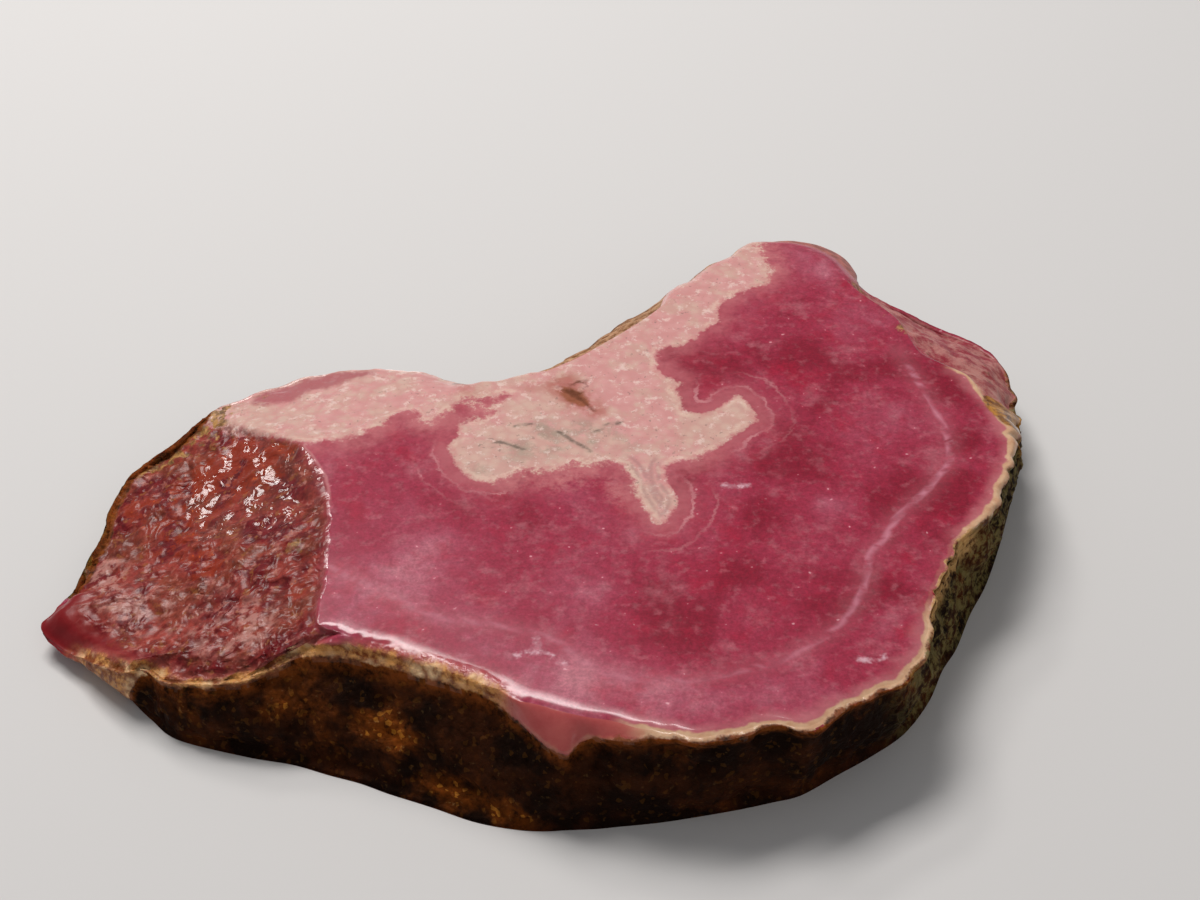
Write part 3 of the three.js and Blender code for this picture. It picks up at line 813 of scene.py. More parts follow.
crust_mm = np.where(zone_is["face"], -FAR_MM, down_mm - crust_start)
store("crust_mm", crust_mm, -FAR_MM)
rear_dust = between(46.5, 54, 1.5) * eased(z, 4.5, 7.0)
store("dusty", rear_dust + between(41.5, 45, 1) * eased(z, 6.0, 7.5))
store("dimpled", dimples_here * on_break)
store("tip", np.clip(tip_facet + zone_is["wall"] * (1 - bare_tip), 0, 1))
cream = between(17.8, 26.5, 1) + between(29.6, 35.3, 0.8) + 0.15 * between(27, 29.4, 0.5)
store("cream", np.clip(cream, 0, 1) * everywhere)
# A painted highlight: a thin pale line along the upper edge between face and break.
store("painted_edge_highlight", between(62, 66, 1.5) * everywhere)
store("golden_rim", between(1.8, 12.5, 1) * everywhere)
store("crystals", between(26.8, 29.2, 0.7) * everywhere)
store("olive", between(26, 34, 2) * everywhere)
store("wedge", between(13.2, 17.2, 0.8) * (zone_is["shoulder"] + zone_is["wall"]))
print("each point stores", len(stone_mesh.attributes), "numbers")

# %% [markdown]
# ## Small helpers for materials
# A material is a tree of nodes. These helpers keep each tree short enough to read: one adds a node and
# fills its inputs, and the others are the few steps that come back all the time, such as a sum, a soft
# threshold, a mix of two colours and noise whose size is given in millimetres.


# %% Node helpers
def linear(red, green, blue):
    """Turns a display colour from 0 to 255 into the linear colour that shaders use."""
    shares = np.array([red, green, blue]) / 255
    curved = np.where(shares <= 0.04045, shares / 12.92, ((shares + 0.055) / 1.055) ** 2.4)
    return (*curved.tolist(), 1.0)


def put(tree, kind, feeds=(), **choices):
    """Adds a node, sets its choices, and gives each input a plain value or another node's output."""
    node = tree.nodes.new(kind)
    for name, value in choices.items():
        setattr(node, name, value)
    for name, value in dict(feeds).items():
        if isinstance(value, bpy.types.NodeSocket):
            tree.links.new(value, node.inputs[name])
        else:
            node.inputs[name].default_value = value
    return node


def calc(tree, operation, *values):
    """One step of arithmetic on one, two or three numbers."""
    return put(tree, "ShaderNodeMath", dict(enumerate(values)), operation=operation).outputs[0]


def both(tree, *shares):
    """Several shares from 0 to 1 multiplied together."""
    product = shares[0]
    for share in shares[1:]:
        product = calc(tree, "MULTIPLY", product, share)
    return product


def soft_step(tree, value, low, high, start=0.0, stop=1.0):
    """Eases from start to stop as the value goes from low to high, and stays level outside."""
    feeds = {"Value": value, "From Min": low, "From Max": high, "To Min": start, "To Max": stop}
    return put(tree, "ShaderNodeMapRange", feeds, interpolation_type="SMOOTHSTEP").outputs[0]


def tint(tree, share, under, over, way="MIX"):
    """Lays one colour over another by a share from 0 to 1."""
    feeds = {0: share, 6: under, 7: over}
    return put(tree, "ShaderNodeMix", feeds, data_type="RGBA", blend_type=way).outputs[2]


def blend(tree, share, under, over):
    """Goes from one number to another by a share from 0 to 1."""
    return put(tree, "ShaderNodeMix", {0: share, 2: under, 3: over}, data_type="FLOAT").outputs[0]


def shade(tree, factor, colour):
    """Makes a colour darker or lighter by a factor near 1."""
    grey = put(tree, "ShaderNodeCombineColor", {"Red": factor, "Green": factor, "Blue": factor}).outputs[0]
    return tint(tree, 1.0, colour, grey, "MULTIPLY")


def grain(tree, where, size_mm, detail=3.0, rough=0.55, twist=0.0):
    """Noise from 0 to 1 whose lumps are about the given size in mm."""
    feeds = {
        "Vector": where, "Scale": 1 / (size_mm * MM), "Detail": detail, "Roughness": rough,
        "Distortion": twist,
    }
    return put(tree, "ShaderNodeTexNoise", feeds).outputs["Fac"]


def clouds(tree, where, kind, low, high, start=0.0, stop=1.0):
    """Noise of a kind (its size in mm, detail, roughness) eased from start to stop between two levels."""
    return soft_step(tree, grain(tree, where, *kind), low, high, start, stop)


def ragged(tree, value, where, size_mm, reach, rough=0.6):
    """A value pushed up and down by noise, so that a threshold set on it gets a ragged edge."""
    noise = calc(tree, "SUBTRACT", grain(tree, where, size_mm, 3.0, rough), 0.5)
    return calc(tree, "MULTIPLY_ADD", noise, 2 * reach, value)


def cells(tree, where, size_mm, output="Distance"):
    """Many scattered seeds about the given distance apart: the distance to the nearest, or its colour."""
    feeds = {"Vector": where, "Scale": 1 / (size_mm * MM)}
    return put(tree, "ShaderNodeTexVoronoi", feeds).outputs[output]


def line(tree, distance, place, half_width, strength):
    """A soft line where the distance is near the place: strength at its middle, nothing past its width."""
    away = calc(tree, "ABSOLUTE", calc(tree, "SUBTRACT", distance, place))
    return soft_step(tree, away, 0.0, half_width, strength, 0.0)


def stored(tree, name):
    """A number stored with the points of the skin."""
    return put(tree, "ShaderNodeAttribute", attribute_name=name).outputs["Fac"]


def start_group(name, inputs, outputs):
    """Begins a node group with named inputs and outputs and gives its tree, its inputs and its outputs."""
    tree = bpy.data.node_groups.new(name, "ShaderNodeTree")
    for label, kind in inputs.items():
        tree.interface.new_socket(label, in_out="INPUT", socket_type="NodeSocket" + kind)
    for label, kind in outputs.items():
        tree.interface.new_socket(label, in_out="OUTPUT", socket_type="NodeSocket" + kind)
    return tree, tree.nodes.new("NodeGroupInput").outputs, tree.nodes.new("NodeGroupOutput").inputs


def use_group(tree, group, feeds):
    """Places a finished group in a material and gives back its outputs."""
    node = tree.nodes.new("ShaderNodeGroup")
    node.node_tree = group
    for name, value in feeds.items():
        tree.links.new(value, node.inputs[name])
    return node.outputs


print("a display grey of 128 is", round(linear(128, 128, 128)[0], 3), "in linear light")

# %% [markdown]
# ## The raspberry pink body
# The pink is not one colour. Clouds several millimetres wide run from deep raspberry to rose, a mist lies
# in them as if a little below the surface, and the crystal grain itself shows as a faint speckle. The
# group takes the stored depth, so that the large dark and light clouds lie where this stone has them. The
# light milky band along the front edge is partly the stone's own and partly painted sheen.

# %% Pink body
DEEP_PINK = linear(132, 20, 44)
BODY_PINK = linear(152, 42, 66)
ROSE_PINK = linear(168, 80, 100)
MILKY_PINK = linear(198, 134, 142)
CRIMSON = linear(158, 18, 48)
FLECK_PINK = linear(228, 180, 188)


def build_pink_body():
    """Deep, body and rose pink mixed by slow noise plus depth, then mist, crimson, grain and flecks."""
    tree, given, result = start_group("pink_body", {"Where": "Vector", "Depth": "Float"}, {"Color": "Color"})
    where = given["Where"]
    level = calc(tree, "MULTIPLY_ADD", given["Depth"], -0.2, grain(tree, where, 6.5, 4.0, 0.55, 0.3))
    colour = tint(tree, soft_step(tree, level, 0.3, 0.5, 1.0, 0.0), BODY_PINK, DEEP_PINK)
    colour = tint(tree, soft_step(tree, level, 0.5, 0.82), colour, ROSE_PINK)
    colour = tint(tree, soft_step(tree, level, 0.66, 0.96, 0.0, 0.6), colour, MILKY_PINK)
    colour = tint(tree, clouds(tree, where, (3.3, 3.0, 0.6), 0.5, 0.72, 0.0, 0.55), colour, CRIMSON)
    mist = clouds(tree, where, (2.3, 4.0, 0.62), 0.5, 0.78, 0.0, 0.3)
    colour = tint(tree, both(tree, mist, soft_step(tree, level, 0.2, 0.45, 0.2, 1.0)), colour, MILKY_PINK)
    colour = tint(tree, clouds(tree, where, (0.9, 3.0, 0.6), 0.52, 0.75, 0.0, 0.22), colour, MILKY_PINK)
    fleck = clouds(tree, where, (0.5, 1.0, 0.4), 0.74, 0.82, 0.0, 0.5)
    colour = tint(tree, fleck, colour, FLECK_PINK)
    colour = shade(tree, clouds(tree, where, (0.5, 3.0, 0.7), 0.3, 0.7, 0.84, 1.14), colour)
    colour = shade(tree, clouds(tree, where, (0.2, 2.0, 0.6), 0.3, 0.7, 0.88, 1.1), colour)
    tree.links.new(colour, result["Color"])
    return tree


pink_body = build_pink_body()
print("pink_body has", len(pink_body.nodes), "nodes")

# %% [markdown]
# ## The pale centre and the growth lines
# The middle of the stone is a chalky cream-pink that ends in rounded lobes. Its edge is crimped at less
# than a millimetre, it holds grey-green smudges, dark needles and a rusty pit, and inside the long finger
# its layers show as thin stripes. Outside it, growth lines repeat the outline at fixed distances. Since all
# of these follow the same outline, one stored distance draws them all.

# %% Pale centre
CREAM = linear(204, 168, 154)
BLUSH = linear(208, 152, 148)
GREY_CREAM = linear(158, 140, 124)
SALMON = linear(172, 100, 88)
NEEDLE_GREY = linear(96, 82, 72)
RUST = linear(92, 44, 14)
FRINGE_PINK = linear(196, 122, 122)
KNOT_PINK = linear(190, 122, 120)
CHALK = linear(228, 202, 192)
LAYER_GREY = linear(158, 116, 114)
LOBE_CREAM = linear(222, 196, 176)
SPECK_BROWN = linear(120, 100, 92)
RUST_HALO = linear(138, 74, 36)
CENTRE_FEEDS = {
    "Edge": "pale_mm", "Bloom": "bloom", "Rosy": "rosy", "Grey": "grey", "Stripes": "stripes",
    "Salmon": "salmon", "Rust": "rust", "Rust line": "rust_mm", "Needle": "needle_mm",
}


def build_pale_centre():
    """Colour of the chalky centre, its mask from the crimped distance, and the crimped distance itself."""
    given_kinds = {name: "Float" for name in CENTRE_FEEDS}
    outputs = {"Color": "Color", "Mask": "Float", "Edge": "Float"}
    tree, given, result = start_group("pale_centre", {"Where": "Vector", **given_kinds}, outputs)
    where = given["Where"]
    crimped = ragged(tree, given["Edge"], where, 1.1, 0.6, 0.78)
    frayed = both(tree, calc(tree, "SUBTRACT", grain(tree, where, 0.7, 5.0, 0.75), 0.5), given["Bloom"], 4.5)
    edge = calc(tree, "ADD", crimped, frayed)
    spread = soft_step(tree, given["Bloom"], 0.1, 0.9, 0.12, 0.42)
    mask = soft_step(tree, calc(tree, "DIVIDE", edge, spread), -1.4, 0.9, 1.0, 0.0)
    blush = calc(tree, "MULTIPLY_ADD", given["Rosy"], 0.1, grain(tree, where, 2.2, 5.0, 0.72))
    blush = soft_step(tree, blush, 0.42, 0.62)
    colour = tint(tree, blush, CREAM, BLUSH)
    fringe = both(
        tree, soft_step(tree, edge, -0.9, 0.1), clouds(tree, where, (0.6, 4.0, 0.7), 0.4, 0.65, 0.1, 0.75),
    )
    colour = tint(tree, fringe, colour, FRINGE_PINK)
    smudge = both(tree, given["Grey"], clouds(tree, where, (2.0, 4.0, 0.65), 0.35, 0.65))
    colour = tint(tree, soft_step(tree, smudge, 0.1, 0.8, 0.0, 0.9), colour, GREY_CREAM)
    knots = soft_step(tree, cells(tree, where, 0.8), 0.2, 0.8, 0.0, 0.34)
    colour = tint(tree, knots, colour, KNOT_PINK)
    chalk = clouds(tree, where, (1.0, 4.0, 0.75), 0.53, 0.66, 0.0, 0.7)
    colour = tint(tree, chalk, colour, CHALK)
    inner = ragged(tree, given["Edge"], where, 0.7, 0.2)
    for place in (-0.6, -1.15):
        layer = both(tree, line(tree, inner, place, 0.32, 0.5), soft_step(tree, given["Stripes"], 0.2, 0.8))
        colour = tint(tree, layer, colour, LAYER_GREY)
    rind_of_lobe = both(tree, line(tree, edge, -0.45, 0.35, 0.5), clouds(tree, where, (1.5,), 0.4, 0.6))
    colour = tint(tree, rind_of_lobe, colour, LOBE_CREAM)
    salmon = both(tree, given["Salmon"], clouds(tree, where, (1.2, 4.0, 0.6), 0.3, 0.6, 0.4, 1.3))
    colour = tint(tree, soft_step(tree, salmon, 0.15, 1.2, 0.0, 0.8), colour, SALMON)
    speck = clouds(tree, where, (0.34, 2.0, 0.5), 0.66, 0.74, 0.0, 0.5)
    colour = tint(tree, speck, colour, SPECK_BROWN)
    needle = ragged(tree, given["Needle"], where, 0.5, 0.24)
    colour = tint(tree, soft_step(tree, needle, 0.05, 0.4, 0.4, 0.0), colour, GREY_CREAM)
    colour = tint(tree, soft_step(tree, needle, 0.0, 0.24, 0.75, 0.0), colour, NEEDLE_GREY)
    rusty = both(tree, given["Rust"], clouds(tree, where, (0.6, 3.0, 0.7), 0.25, 0.55, 0.4, 1.6))
    colour = tint(tree, soft_step(tree, rusty, 0.3, 1.1, 0.0, 0.8), colour, RUST_HALO)
    rust_line = ragged(tree, given["Rust line"], where, 0.5, 0.16)
    colour = tint(tree, soft_step(tree, rust_line, 0.0, 0.26, 0.9, 0.0), colour, RUST)
    tree.links.new(colour, result["Color"])
    tree.links.new(mask, result["Mask"])
    tree.links.new(edge, result["Edge"])
    return tree


HALO_PINK = linear(186, 108, 112)
COLLAR_PINK = linear(170, 92, 98)
VEIL_PINK = linear(180, 92, 104)
BLOOM_PINK = linear(192, 116, 118)
RING_PINK = linear(210, 150, 152)
ARC_PINK = linear(196, 122, 140)
CRACK_WHITE = linear(232, 196, 206)
FLUSH_PINK = linear(190, 116, 120)
UNDER_RIM_BROWN = linear(140, 84, 50)
RIM_TAN = linear(178, 120, 84)
RIM_CREAM = linear(224, 194, 160)
LINE_FEEDS = {
    "Bloom": "bloom", "Ringed": "ringed", "Arc": "arc_mm", "Along": "arc_along", "Inwards": "inwards_mm",
    "Cream": "cream", "Crack": "crack_mm",
}


def build_growth_lines():
    """Lays over a colour the halo and lines round the centre, the long arc and the cream border."""
    given_kinds = {name: "Float" for name in ("Edge", *LINE_FEEDS)}
    tree, given, result = start_group(
        "growth_lines", {"Color": "Color", "Where": "Vector", **given_kinds}, {"Color": "Color"},
    )
    where = given["Where"]
    patchy_halo = clouds(tree, where, (2.0, 3.0, 0.65), 0.32, 0.66, 0.35, 1.0)
    ringed = soft_step(tree, given["Ringed"], 0.1, 0.9)
    halo = both(tree, soft_step(tree, given["Edge"], 0.2, 1.9, 0.65, 0.0), patchy_halo)
    colour = tint(tree, halo, given["Color"], HALO_PINK)
    collar = both(tree, soft_step(tree, given["Edge"], 0.6, 1.25, 0.4, 0.0), ringed)
    colour = tint(tree, collar, colour, COLLAR_PINK)
    veil = both(tree, soft_step(tree, given["Edge"], 0.8, 4.2, 0.28, 0.0), patchy_halo)
    colour = tint(tree, veil, colour, VEIL_PINK)
    bloom = both(tree, given["Bloom"], soft_step(tree, given["Edge"], 0.2, 2.8, 0.7, 0.0), patchy_halo)
    colour = tint(tree, bloom, colour, BLOOM_PINK)
    worn = clouds(tree, where, (3.0, 3.0, 0.6), 0.4, 0.62, 0.3, 1.0)
    clear = soft_step(tree, given["Bloom"], 0.2, 0.7, 1.0, 0.2)
    for place, width, strength in ((1.15, 0.22, 0.6), (2.7, 0.2, 0.4)):
        ring = both(tree, line(tree, given["Edge"], place, width, strength), worn, clear, ringed)
        colour = tint(tree, ring, colour, RING_PINK)
    arc = ragged(tree, given["Arc"], where, 1.4, 0.14)
    fresh = both(
        tree, soft_step(tree, given["Along"], 0.42, 0.66, 1.0, 0.4),
        soft_step(tree, given["Along"], 0.0, 0.1),
    )
    fresh = both(tree, fresh, clouds(tree, where, (2.0, 3.0, 0.6), 0.3, 0.55, 0.65, 1.0))
    colour = tint(tree, both(tree, line(tree, arc, 0.0, 0.42, 0.9), fresh), colour, ARC_PINK)
    colour = tint(tree, line(tree, arc, 0.0, 1.6, 0.14), colour, MILKY_PINK)
    crack = ragged(tree, given["Crack"], where, 0.35, 0.25)
    broken_up = clouds(tree, where, (0.6, 2.0, 0.6), 0.42, 0.58, 0.3, 1.0)
    crack = both(tree, soft_step(tree, crack, -0.02, 0.38, 0.7, 0.0), broken_up)
    colour = tint(tree, crack, colour, CRACK_WHITE)
    border = ragged(tree, given["Inwards"], where, 0.9, 0.3, 0.5)
    flush = ragged(tree, given["Inwards"], where, 2.2, 0.9, 0.6)
    flush = both(tree, soft_step(tree, flush, 0.0, 1.4, 0.7, 0.0), given["Cream"])
    colour = tint(tree, flush, colour, FLUSH_PINK)
    under_rim = both(tree, soft_step(tree, border, -1.0, -0.4, 0.8, 0.0), given["Cream"])
    colour = tint(tree, under_rim, colour, UNDER_RIM_BROWN)
    rim_line = both(tree, soft_step(tree, border, 0.12, 0.32, 1.0, 0.0), given["Cream"])
    rim_line = both(tree, rim_line, soft_step(tree, border, -0.9, -0.45))
    rim_cream = tint(tree, grain(tree, where, 0.8, 3.0, 0.6), RIM_TAN, RIM_CREAM)
    colour = tint(tree, rim_line, colour, rim_cream)
    tree.links.new(colour, result["Color"])
    return tree


pale_centre = build_pale_centre()
growth_lines = build_growth_lines()
print("pale_centre and growth_lines have", len(pale_centre.nodes) + len(growth_lines.nodes), "nodes")

# %% [markdown]
# ## The rind
# The natural outside is a thin crust of brown iron and manganese oxides over granular carbonate. Just under
# the cream line it is orange-brown, further down chocolate, with golden patches, and on the right side its
# grains are olive. The chocolate, umber and golden browns are darker than the crust itself: they hold
# painted shade, for the front wall stands in shade that the pale floor would otherwise light up. It is dull
# apart from small grains that glint like amber. The group gives colour, roughness and a height for the
# finest grains, which are smaller than the mesh can hold.

# %% Rind
# Painted shade: these three browns are darker than the crust's own colour, for the shade that the front wall
# lies in.
SHADED_CHOCOLATE = linear(24, 10, 4)
SHADED_UMBER = linear(58, 27, 10)
SHADED_GOLDEN = linear(128, 64, 15)
TAN = linear(188, 146, 92)
OLIVE = linear(112, 98, 56)
BURNT_ORANGE = linear(138, 70, 24)
PIT_DARK = linear(16, 7, 3)
DUST_BROWN = linear(118, 78, 48)
DUST_CREAM = linear(196, 152, 118)
GLINT_AMBER = linear(214, 140, 50)
RIND_FEEDS = {
    "Down": "crust_mm", "Gold": "gold", "Olive": "olive", "Crystals": "crystals", "Dusty": "dusty",
}


def build_rind():
    """Colour, roughness and height of the crust, from noise, the depth below its start and two shares."""
    given_kinds = {name: "Float" for name in RIND_FEEDS}
    given_kinds["Where"] = "Vector"
    outputs = {"Color": "Color", "Roughness": "Float", "Height": "Float"}
    tree, given, result = start_group("rind", given_kinds, outputs)
    where = given["Where"]
    small = grain(tree, where, 0.8, 4.0, 0.7)
    patches = grain(tree, where, 4.5, 4.0, 0.6)
    colour = tint(tree, soft_step(tree, patches, 0.42, 0.62), SHADED_CHOCOLATE, SHADED_UMBER)
    golden = calc(tree, "MULTIPLY_ADD", given["Gold"], 0.34, patches)
    golden = both(tree, soft_step(tree, golden, 0.58, 0.86), soft_step(tree, small, 0.3, 0.6, 0.45, 1.0))
    colour = tint(tree, golden, colour, SHADED_GOLDEN)
    burnt = ragged(tree, given["Down"], where, 1.2, 0.8, 0.7)
    burnt = both(
        tree, soft_step(tree, burnt, 0.0, 1.5, 0.9, 0.0), soft_step(tree, small, 0.35, 0.6, 0.2, 1.0),
    )
    colour = tint(tree, burnt, colour, BURNT_ORANGE)
    colour = tint(tree, both(tree, soft_step(tree, small, 0.42, 0.62), given["Olive"]), colour, OLIVE)
    crystals = both(
        tree, given["Crystals"], soft_step(tree, given["Down"], 1.6, 2.8, 1.0, 0.0),
        soft_step(tree, small, 0.35, 0.55),
    )
    colour = tint(tree, crystals, colour, TAN)
    tan = clouds(tree, where, (0.42, 3.0, 0.6), 0.62, 0.76, 0.0, 0.4)
    colour = tint(tree, both(tree, tan, soft_step(tree, golden, 0.0, 0.6, 0.25, 1.0)), colour, TAN)
    # Darkest where the fine noise is low, the same places where the fine height sinks into pits.
    colour = tint(tree, soft_step(tree, small, 0.28, 0.45, 0.7, 0.0), colour, PIT_DARK)
    dust = tint(tree, soft_step(tree, small, 0.35, 0.65), DUST_BROWN, DUST_CREAM)
    colour = tint(
        tree, both(tree, given["Dusty"], soft_step(tree, patches, 0.3, 0.5, 0.6, 0.95)), colour, dust,
    )
    tag = put(tree, "ShaderNodeSeparateColor", {"Color": cells(tree, where, 0.3, output="Color")}).outputs[0]
    glint = both(tree, soft_step(tree, tag, 0.9, 0.94), soft_step(tree, golden, 0.1, 0.7, 0.1, 1.0))
    colour = tint(tree, both(tree, glint, 0.5), colour, GLINT_AMBER)
    roughness = blend(tree, glint, soft_step(tree, small, 0.4, 0.7, 0.85, 0.6), 0.2)
    height = calc(tree, "MULTIPLY_ADD", cells(tree, where, 0.5), -0.6, calc(tree, "MULTIPLY", small, 1.2))
    tree.links.new(colour, result["Color"])
    tree.links.new(roughness, result["Roughness"])
    tree.links.new(height, result["Height"])
    return tree


rind = build_rind()
print("rind has", len(rind.nodes), "nodes")

# %% [markdown]
# ## Sound stone and the break
# Sound stone is the pink body with its growth lines and its pale centre, wherever it is cut open. Where the
# edge broke off, the same stone looks like flesh: dark red with brown and pale pink crumbs, orange stains,
# amber sparks and frosted spots that are partly painted sheen. Every stain is a stored spot that noise
# breaks up, so it has holes and a ragged edge, and the pale layer still shows faintly where it reaches into
# the break.


# %% Sound stone
def begin_material(name):
    """A material with an empty tree, its shader and its output joined."""
    material = bpy.data.materials.new(name)
    material.use_nodes = True
    tree = material.node_tree
    tree.nodes.clear()
    shader = tree.nodes.new("ShaderNodeBsdfPrincipled")
    output = tree.nodes.new("ShaderNodeOutputMaterial")
    tree.links.new(shader.outputs[0], output.inputs["Surface"])
    return material, tree, shader


def feeds_from(tree, where, feeds):
    """The place, and for each input of a group the stored number that feeds it."""
    return {"Where": where, **{label: stored(tree, name) for label, name in feeds.items()}}


def growth_colour(tree, where):
    """The pink body with its growth lines and pale centre: the colour of sound stone, and the pale mask."""
    body = use_group(tree, pink_body, {"Where": where, "Depth": stored(tree, "depth")})["Color"]
    centre = use_group(tree, pale_centre, feeds_from(tree, where, CENTRE_FEEDS))
    line_feeds = {"Color": body, "Edge": centre["Edge"], **feeds_from(tree, where, LINE_FEEDS)}
    lined = use_group(tree, growth_lines, line_feeds)["Color"]
    return tint(tree, centre["Mask"], lined, centre["Color"]), centre["Mask"]


print("sound stone takes", 1 + len(CENTRE_FEEDS) + len(LINE_FEEDS), "stored numbers")


# %% Break colours
FLESH_RED = linear(96, 14, 18)
FLESH_BROWN = linear(136, 54, 44)
FLESH_PINK = linear(170, 104, 96)
FLESH_UMBER = linear(118, 60, 38)
CRUMB_PINK = linear(190, 126, 112)
CRUMB_OCHRE = linear(150, 92, 44)
BROKEN_PINK = linear(146, 68, 66)
ORANGE_STAIN = linear(140, 44, 18)
AMBER_SPARK = linear(200, 84, 24)
FROST_AND_SHEEN_PINK = linear(190, 138, 128)


def patchy(tree, where, name, size_mm, low=0.25, high=0.7):
    """A stored spot broken up by noise, so that a stain has ragged edges and holes."""
    noise = clouds(tree, where, (size_mm, 4.0, 0.68), 0.36, 0.64, 0.1, 1.6)
    return soft_step(tree, both(tree, stored(tree, name), noise), low, high)


def break_colour(tree, where, colour, pale, broken):
    """Flesh of the break: dark red, brown and pale pink in patches, its stains, and frosted spots, partly
    painted sheen.
    """
    flesh = tint(tree, clouds(tree, where, (3.0, 4.0, 0.62), 0.42, 0.58), FLESH_RED, FLESH_BROWN)
    flesh = tint(tree, clouds(tree, where, (1.6, 4.0, 0.65), 0.54, 0.7, 0.0, 0.6), flesh, FLESH_PINK)
    flesh = tint(tree, clouds(tree, where, (3.6, 3.0, 0.6), 0.46, 0.64, 0.0, 0.6), flesh, FLESH_UMBER)
    crumbs = grain(tree, where, 0.6, 3.0, 0.7)
    flesh = shade(tree, soft_step(tree, crumbs, 0.3, 0.7, 0.65, 1.35), flesh)
    flesh = tint(tree, clouds(tree, where, (0.8, 3.0, 0.7), 0.56, 0.68, 0.0, 0.5), flesh, CRUMB_PINK)
    flesh = tint(tree, clouds(tree, where, (0.9, 3.0, 0.7), 0.58, 0.68, 0.0, 0.6), flesh, CRUMB_OCHRE)
    keep_pale = calc(tree, "SUBTRACT", 1.0, both(tree, pale, soft_step(tree, crumbs, 0.35, 0.6, 0.1, 0.85)))
    down_break = ragged(tree, stored(tree, "inwards_mm"), where, 1.4, 0.9, 0.65)
    deep_in = soft_step(tree, down_break, -1.2, 0.3, 0.92, 0.1)
    colour = tint(tree, both(tree, broken, 0.6, keep_pale), colour, BROKEN_PINK)
    colour = tint(tree, both(tree, broken, deep_in, keep_pale), colour, flesh)
    colour = tint(tree, both(tree, patchy(tree, where, "orange", 1.5), broken, 0.75), colour, ORANGE_STAIN)
    amber = both(
        tree, clouds(tree, where, (0.4, 2.0, 0.5), 0.66, 0.76), broken,
        soft_step(tree, stored(tree, "orange"), 0.1, 0.6),
    )
    colour = tint(tree, both(tree, amber, 0.7), colour, AMBER_SPARK)
    # Painted sheen in part: the pale frosted spots on the lower break.
    colour = tint(tree, both(tree, patchy(tree, where, "frost_and_sheen", 1.3, 0.3, 1.1), 0.65), colour, FROST_AND_SHEEN_PINK)
    return colour


print("the dark flesh of the break is", [round(value, 3) for value in FLESH_RED[:3]], "in linear light")

# %% [markdown]
# ## The rim, and the skin put together
# In front the stone ends in a lumpy golden and cream rim, with one small pink wedge bevelled into it. The
# gold and cream of that rim are the crust's own colours made lighter, as painted light on the upturned
# crust, and its cream crumbs are partly painted highlights; the salmon shoulder above it is lightened
# against the shade that falls there. At the rear it is stained ochre. A material for the skin starts from
# sound stone, lays the break, the rim and last the rind over it, and changes the polish with the place:
# nearly a mirror on the face, wet-looking on the break, chalky on the pale centre, dull on the rind. The
# same recipe is made in several strengths of sheen, and each leaves out what its part of the stone doesn't
# have.


# %% Rim colours
SALMON_AND_PAINTED_LIGHT = linear(190, 104, 92)
CRUST_BROWN = linear(122, 58, 18)
CRUST_GOLD_AND_PAINTED_LIGHT = linear(204, 144, 80)
CREAM_CRUMBS_AND_HIGHLIGHTS = linear(244, 206, 158)
WEDGE_RED = linear(156, 50, 52)
WEDGE_PINK = linear(196, 104, 94)
WEDGE_TAN = linear(190, 130, 96)
OCHRE_BROWN = linear(96, 62, 24)
OCHRE_TAN = linear(182, 134, 78)


def rim_colours(tree, where, colour):
    """The colour with its golden rim, wedge and ochre stains, and the shares of the rim and the ochre."""
    down = ragged(tree, stored(tree, "down_mm"), where, 1.2, 0.7, 0.68)
    band = both(tree, soft_step(tree, down, -1.3, -0.5), stored(tree, "golden_rim"))
    lumps = clouds(tree, where, (1.6, 4.0, 0.6), 0.36, 0.66)
    # Painted light: the salmon on the shoulder above the rim is the stone's own salmon-cream, made lighter
    # against the shade that falls where the shoulder turns away from the lamps.
    salmon_and_painted_light = both(tree, soft_step(tree, down, -2.2, -0.5), stored(tree, "golden_rim"), 0.7)
    colour = tint(tree, salmon_and_painted_light, colour, SALMON_AND_PAINTED_LIGHT)
    # Painted light: the gold and cream of the crust are lighter than the crust itself, for the light that
    # the upturned crust catches; the cream crumbs are partly painted highlights.
    browner = clouds(tree, where, (1.2, 4.0, 0.7), 0.4, 0.6)
    crust = tint(tree, browner, CRUST_BROWN, CRUST_GOLD_AND_PAINTED_LIGHT)
    crumbs = both(tree, soft_step(tree, cells(tree, where, 1.3), 0.2, 0.6, 1.0, 0.0), lumps)
    crust = tint(tree, crumbs, crust, CREAM_CRUMBS_AND_HIGHLIGHTS)
    colour = tint(tree, band, colour, crust)
    wedge = stored(tree, "wedge")
    wedge_pink = tint(tree, grain(tree, where, 1.5, 4.0, 0.6), WEDGE_RED, WEDGE_PINK)
    colour = tint(tree, both(tree, wedge, 0.85), colour, wedge_pink)
    wedge_edge = both(tree, soft_step(tree, down, -0.4, 0.1), wedge, lumps, 0.6)
    colour = tint(tree, wedge_edge, colour, WEDGE_TAN)
    ochre = clouds(tree, where, (0.7, 3.0, 0.7), 0.35, 0.65)
    ochre = tint(tree, ochre, OCHRE_BROWN, OCHRE_TAN)
    stained = patchy(tree, where, "ochre", 0.9, 0.35, 0.95)
    return tint(tree, stained, colour, ochre), band, stained


print("the cream of the rim is", [round(value, 3) for value in CREAM_CRUMBS_AND_HIGHLIGHTS[:3]], "in linear light")


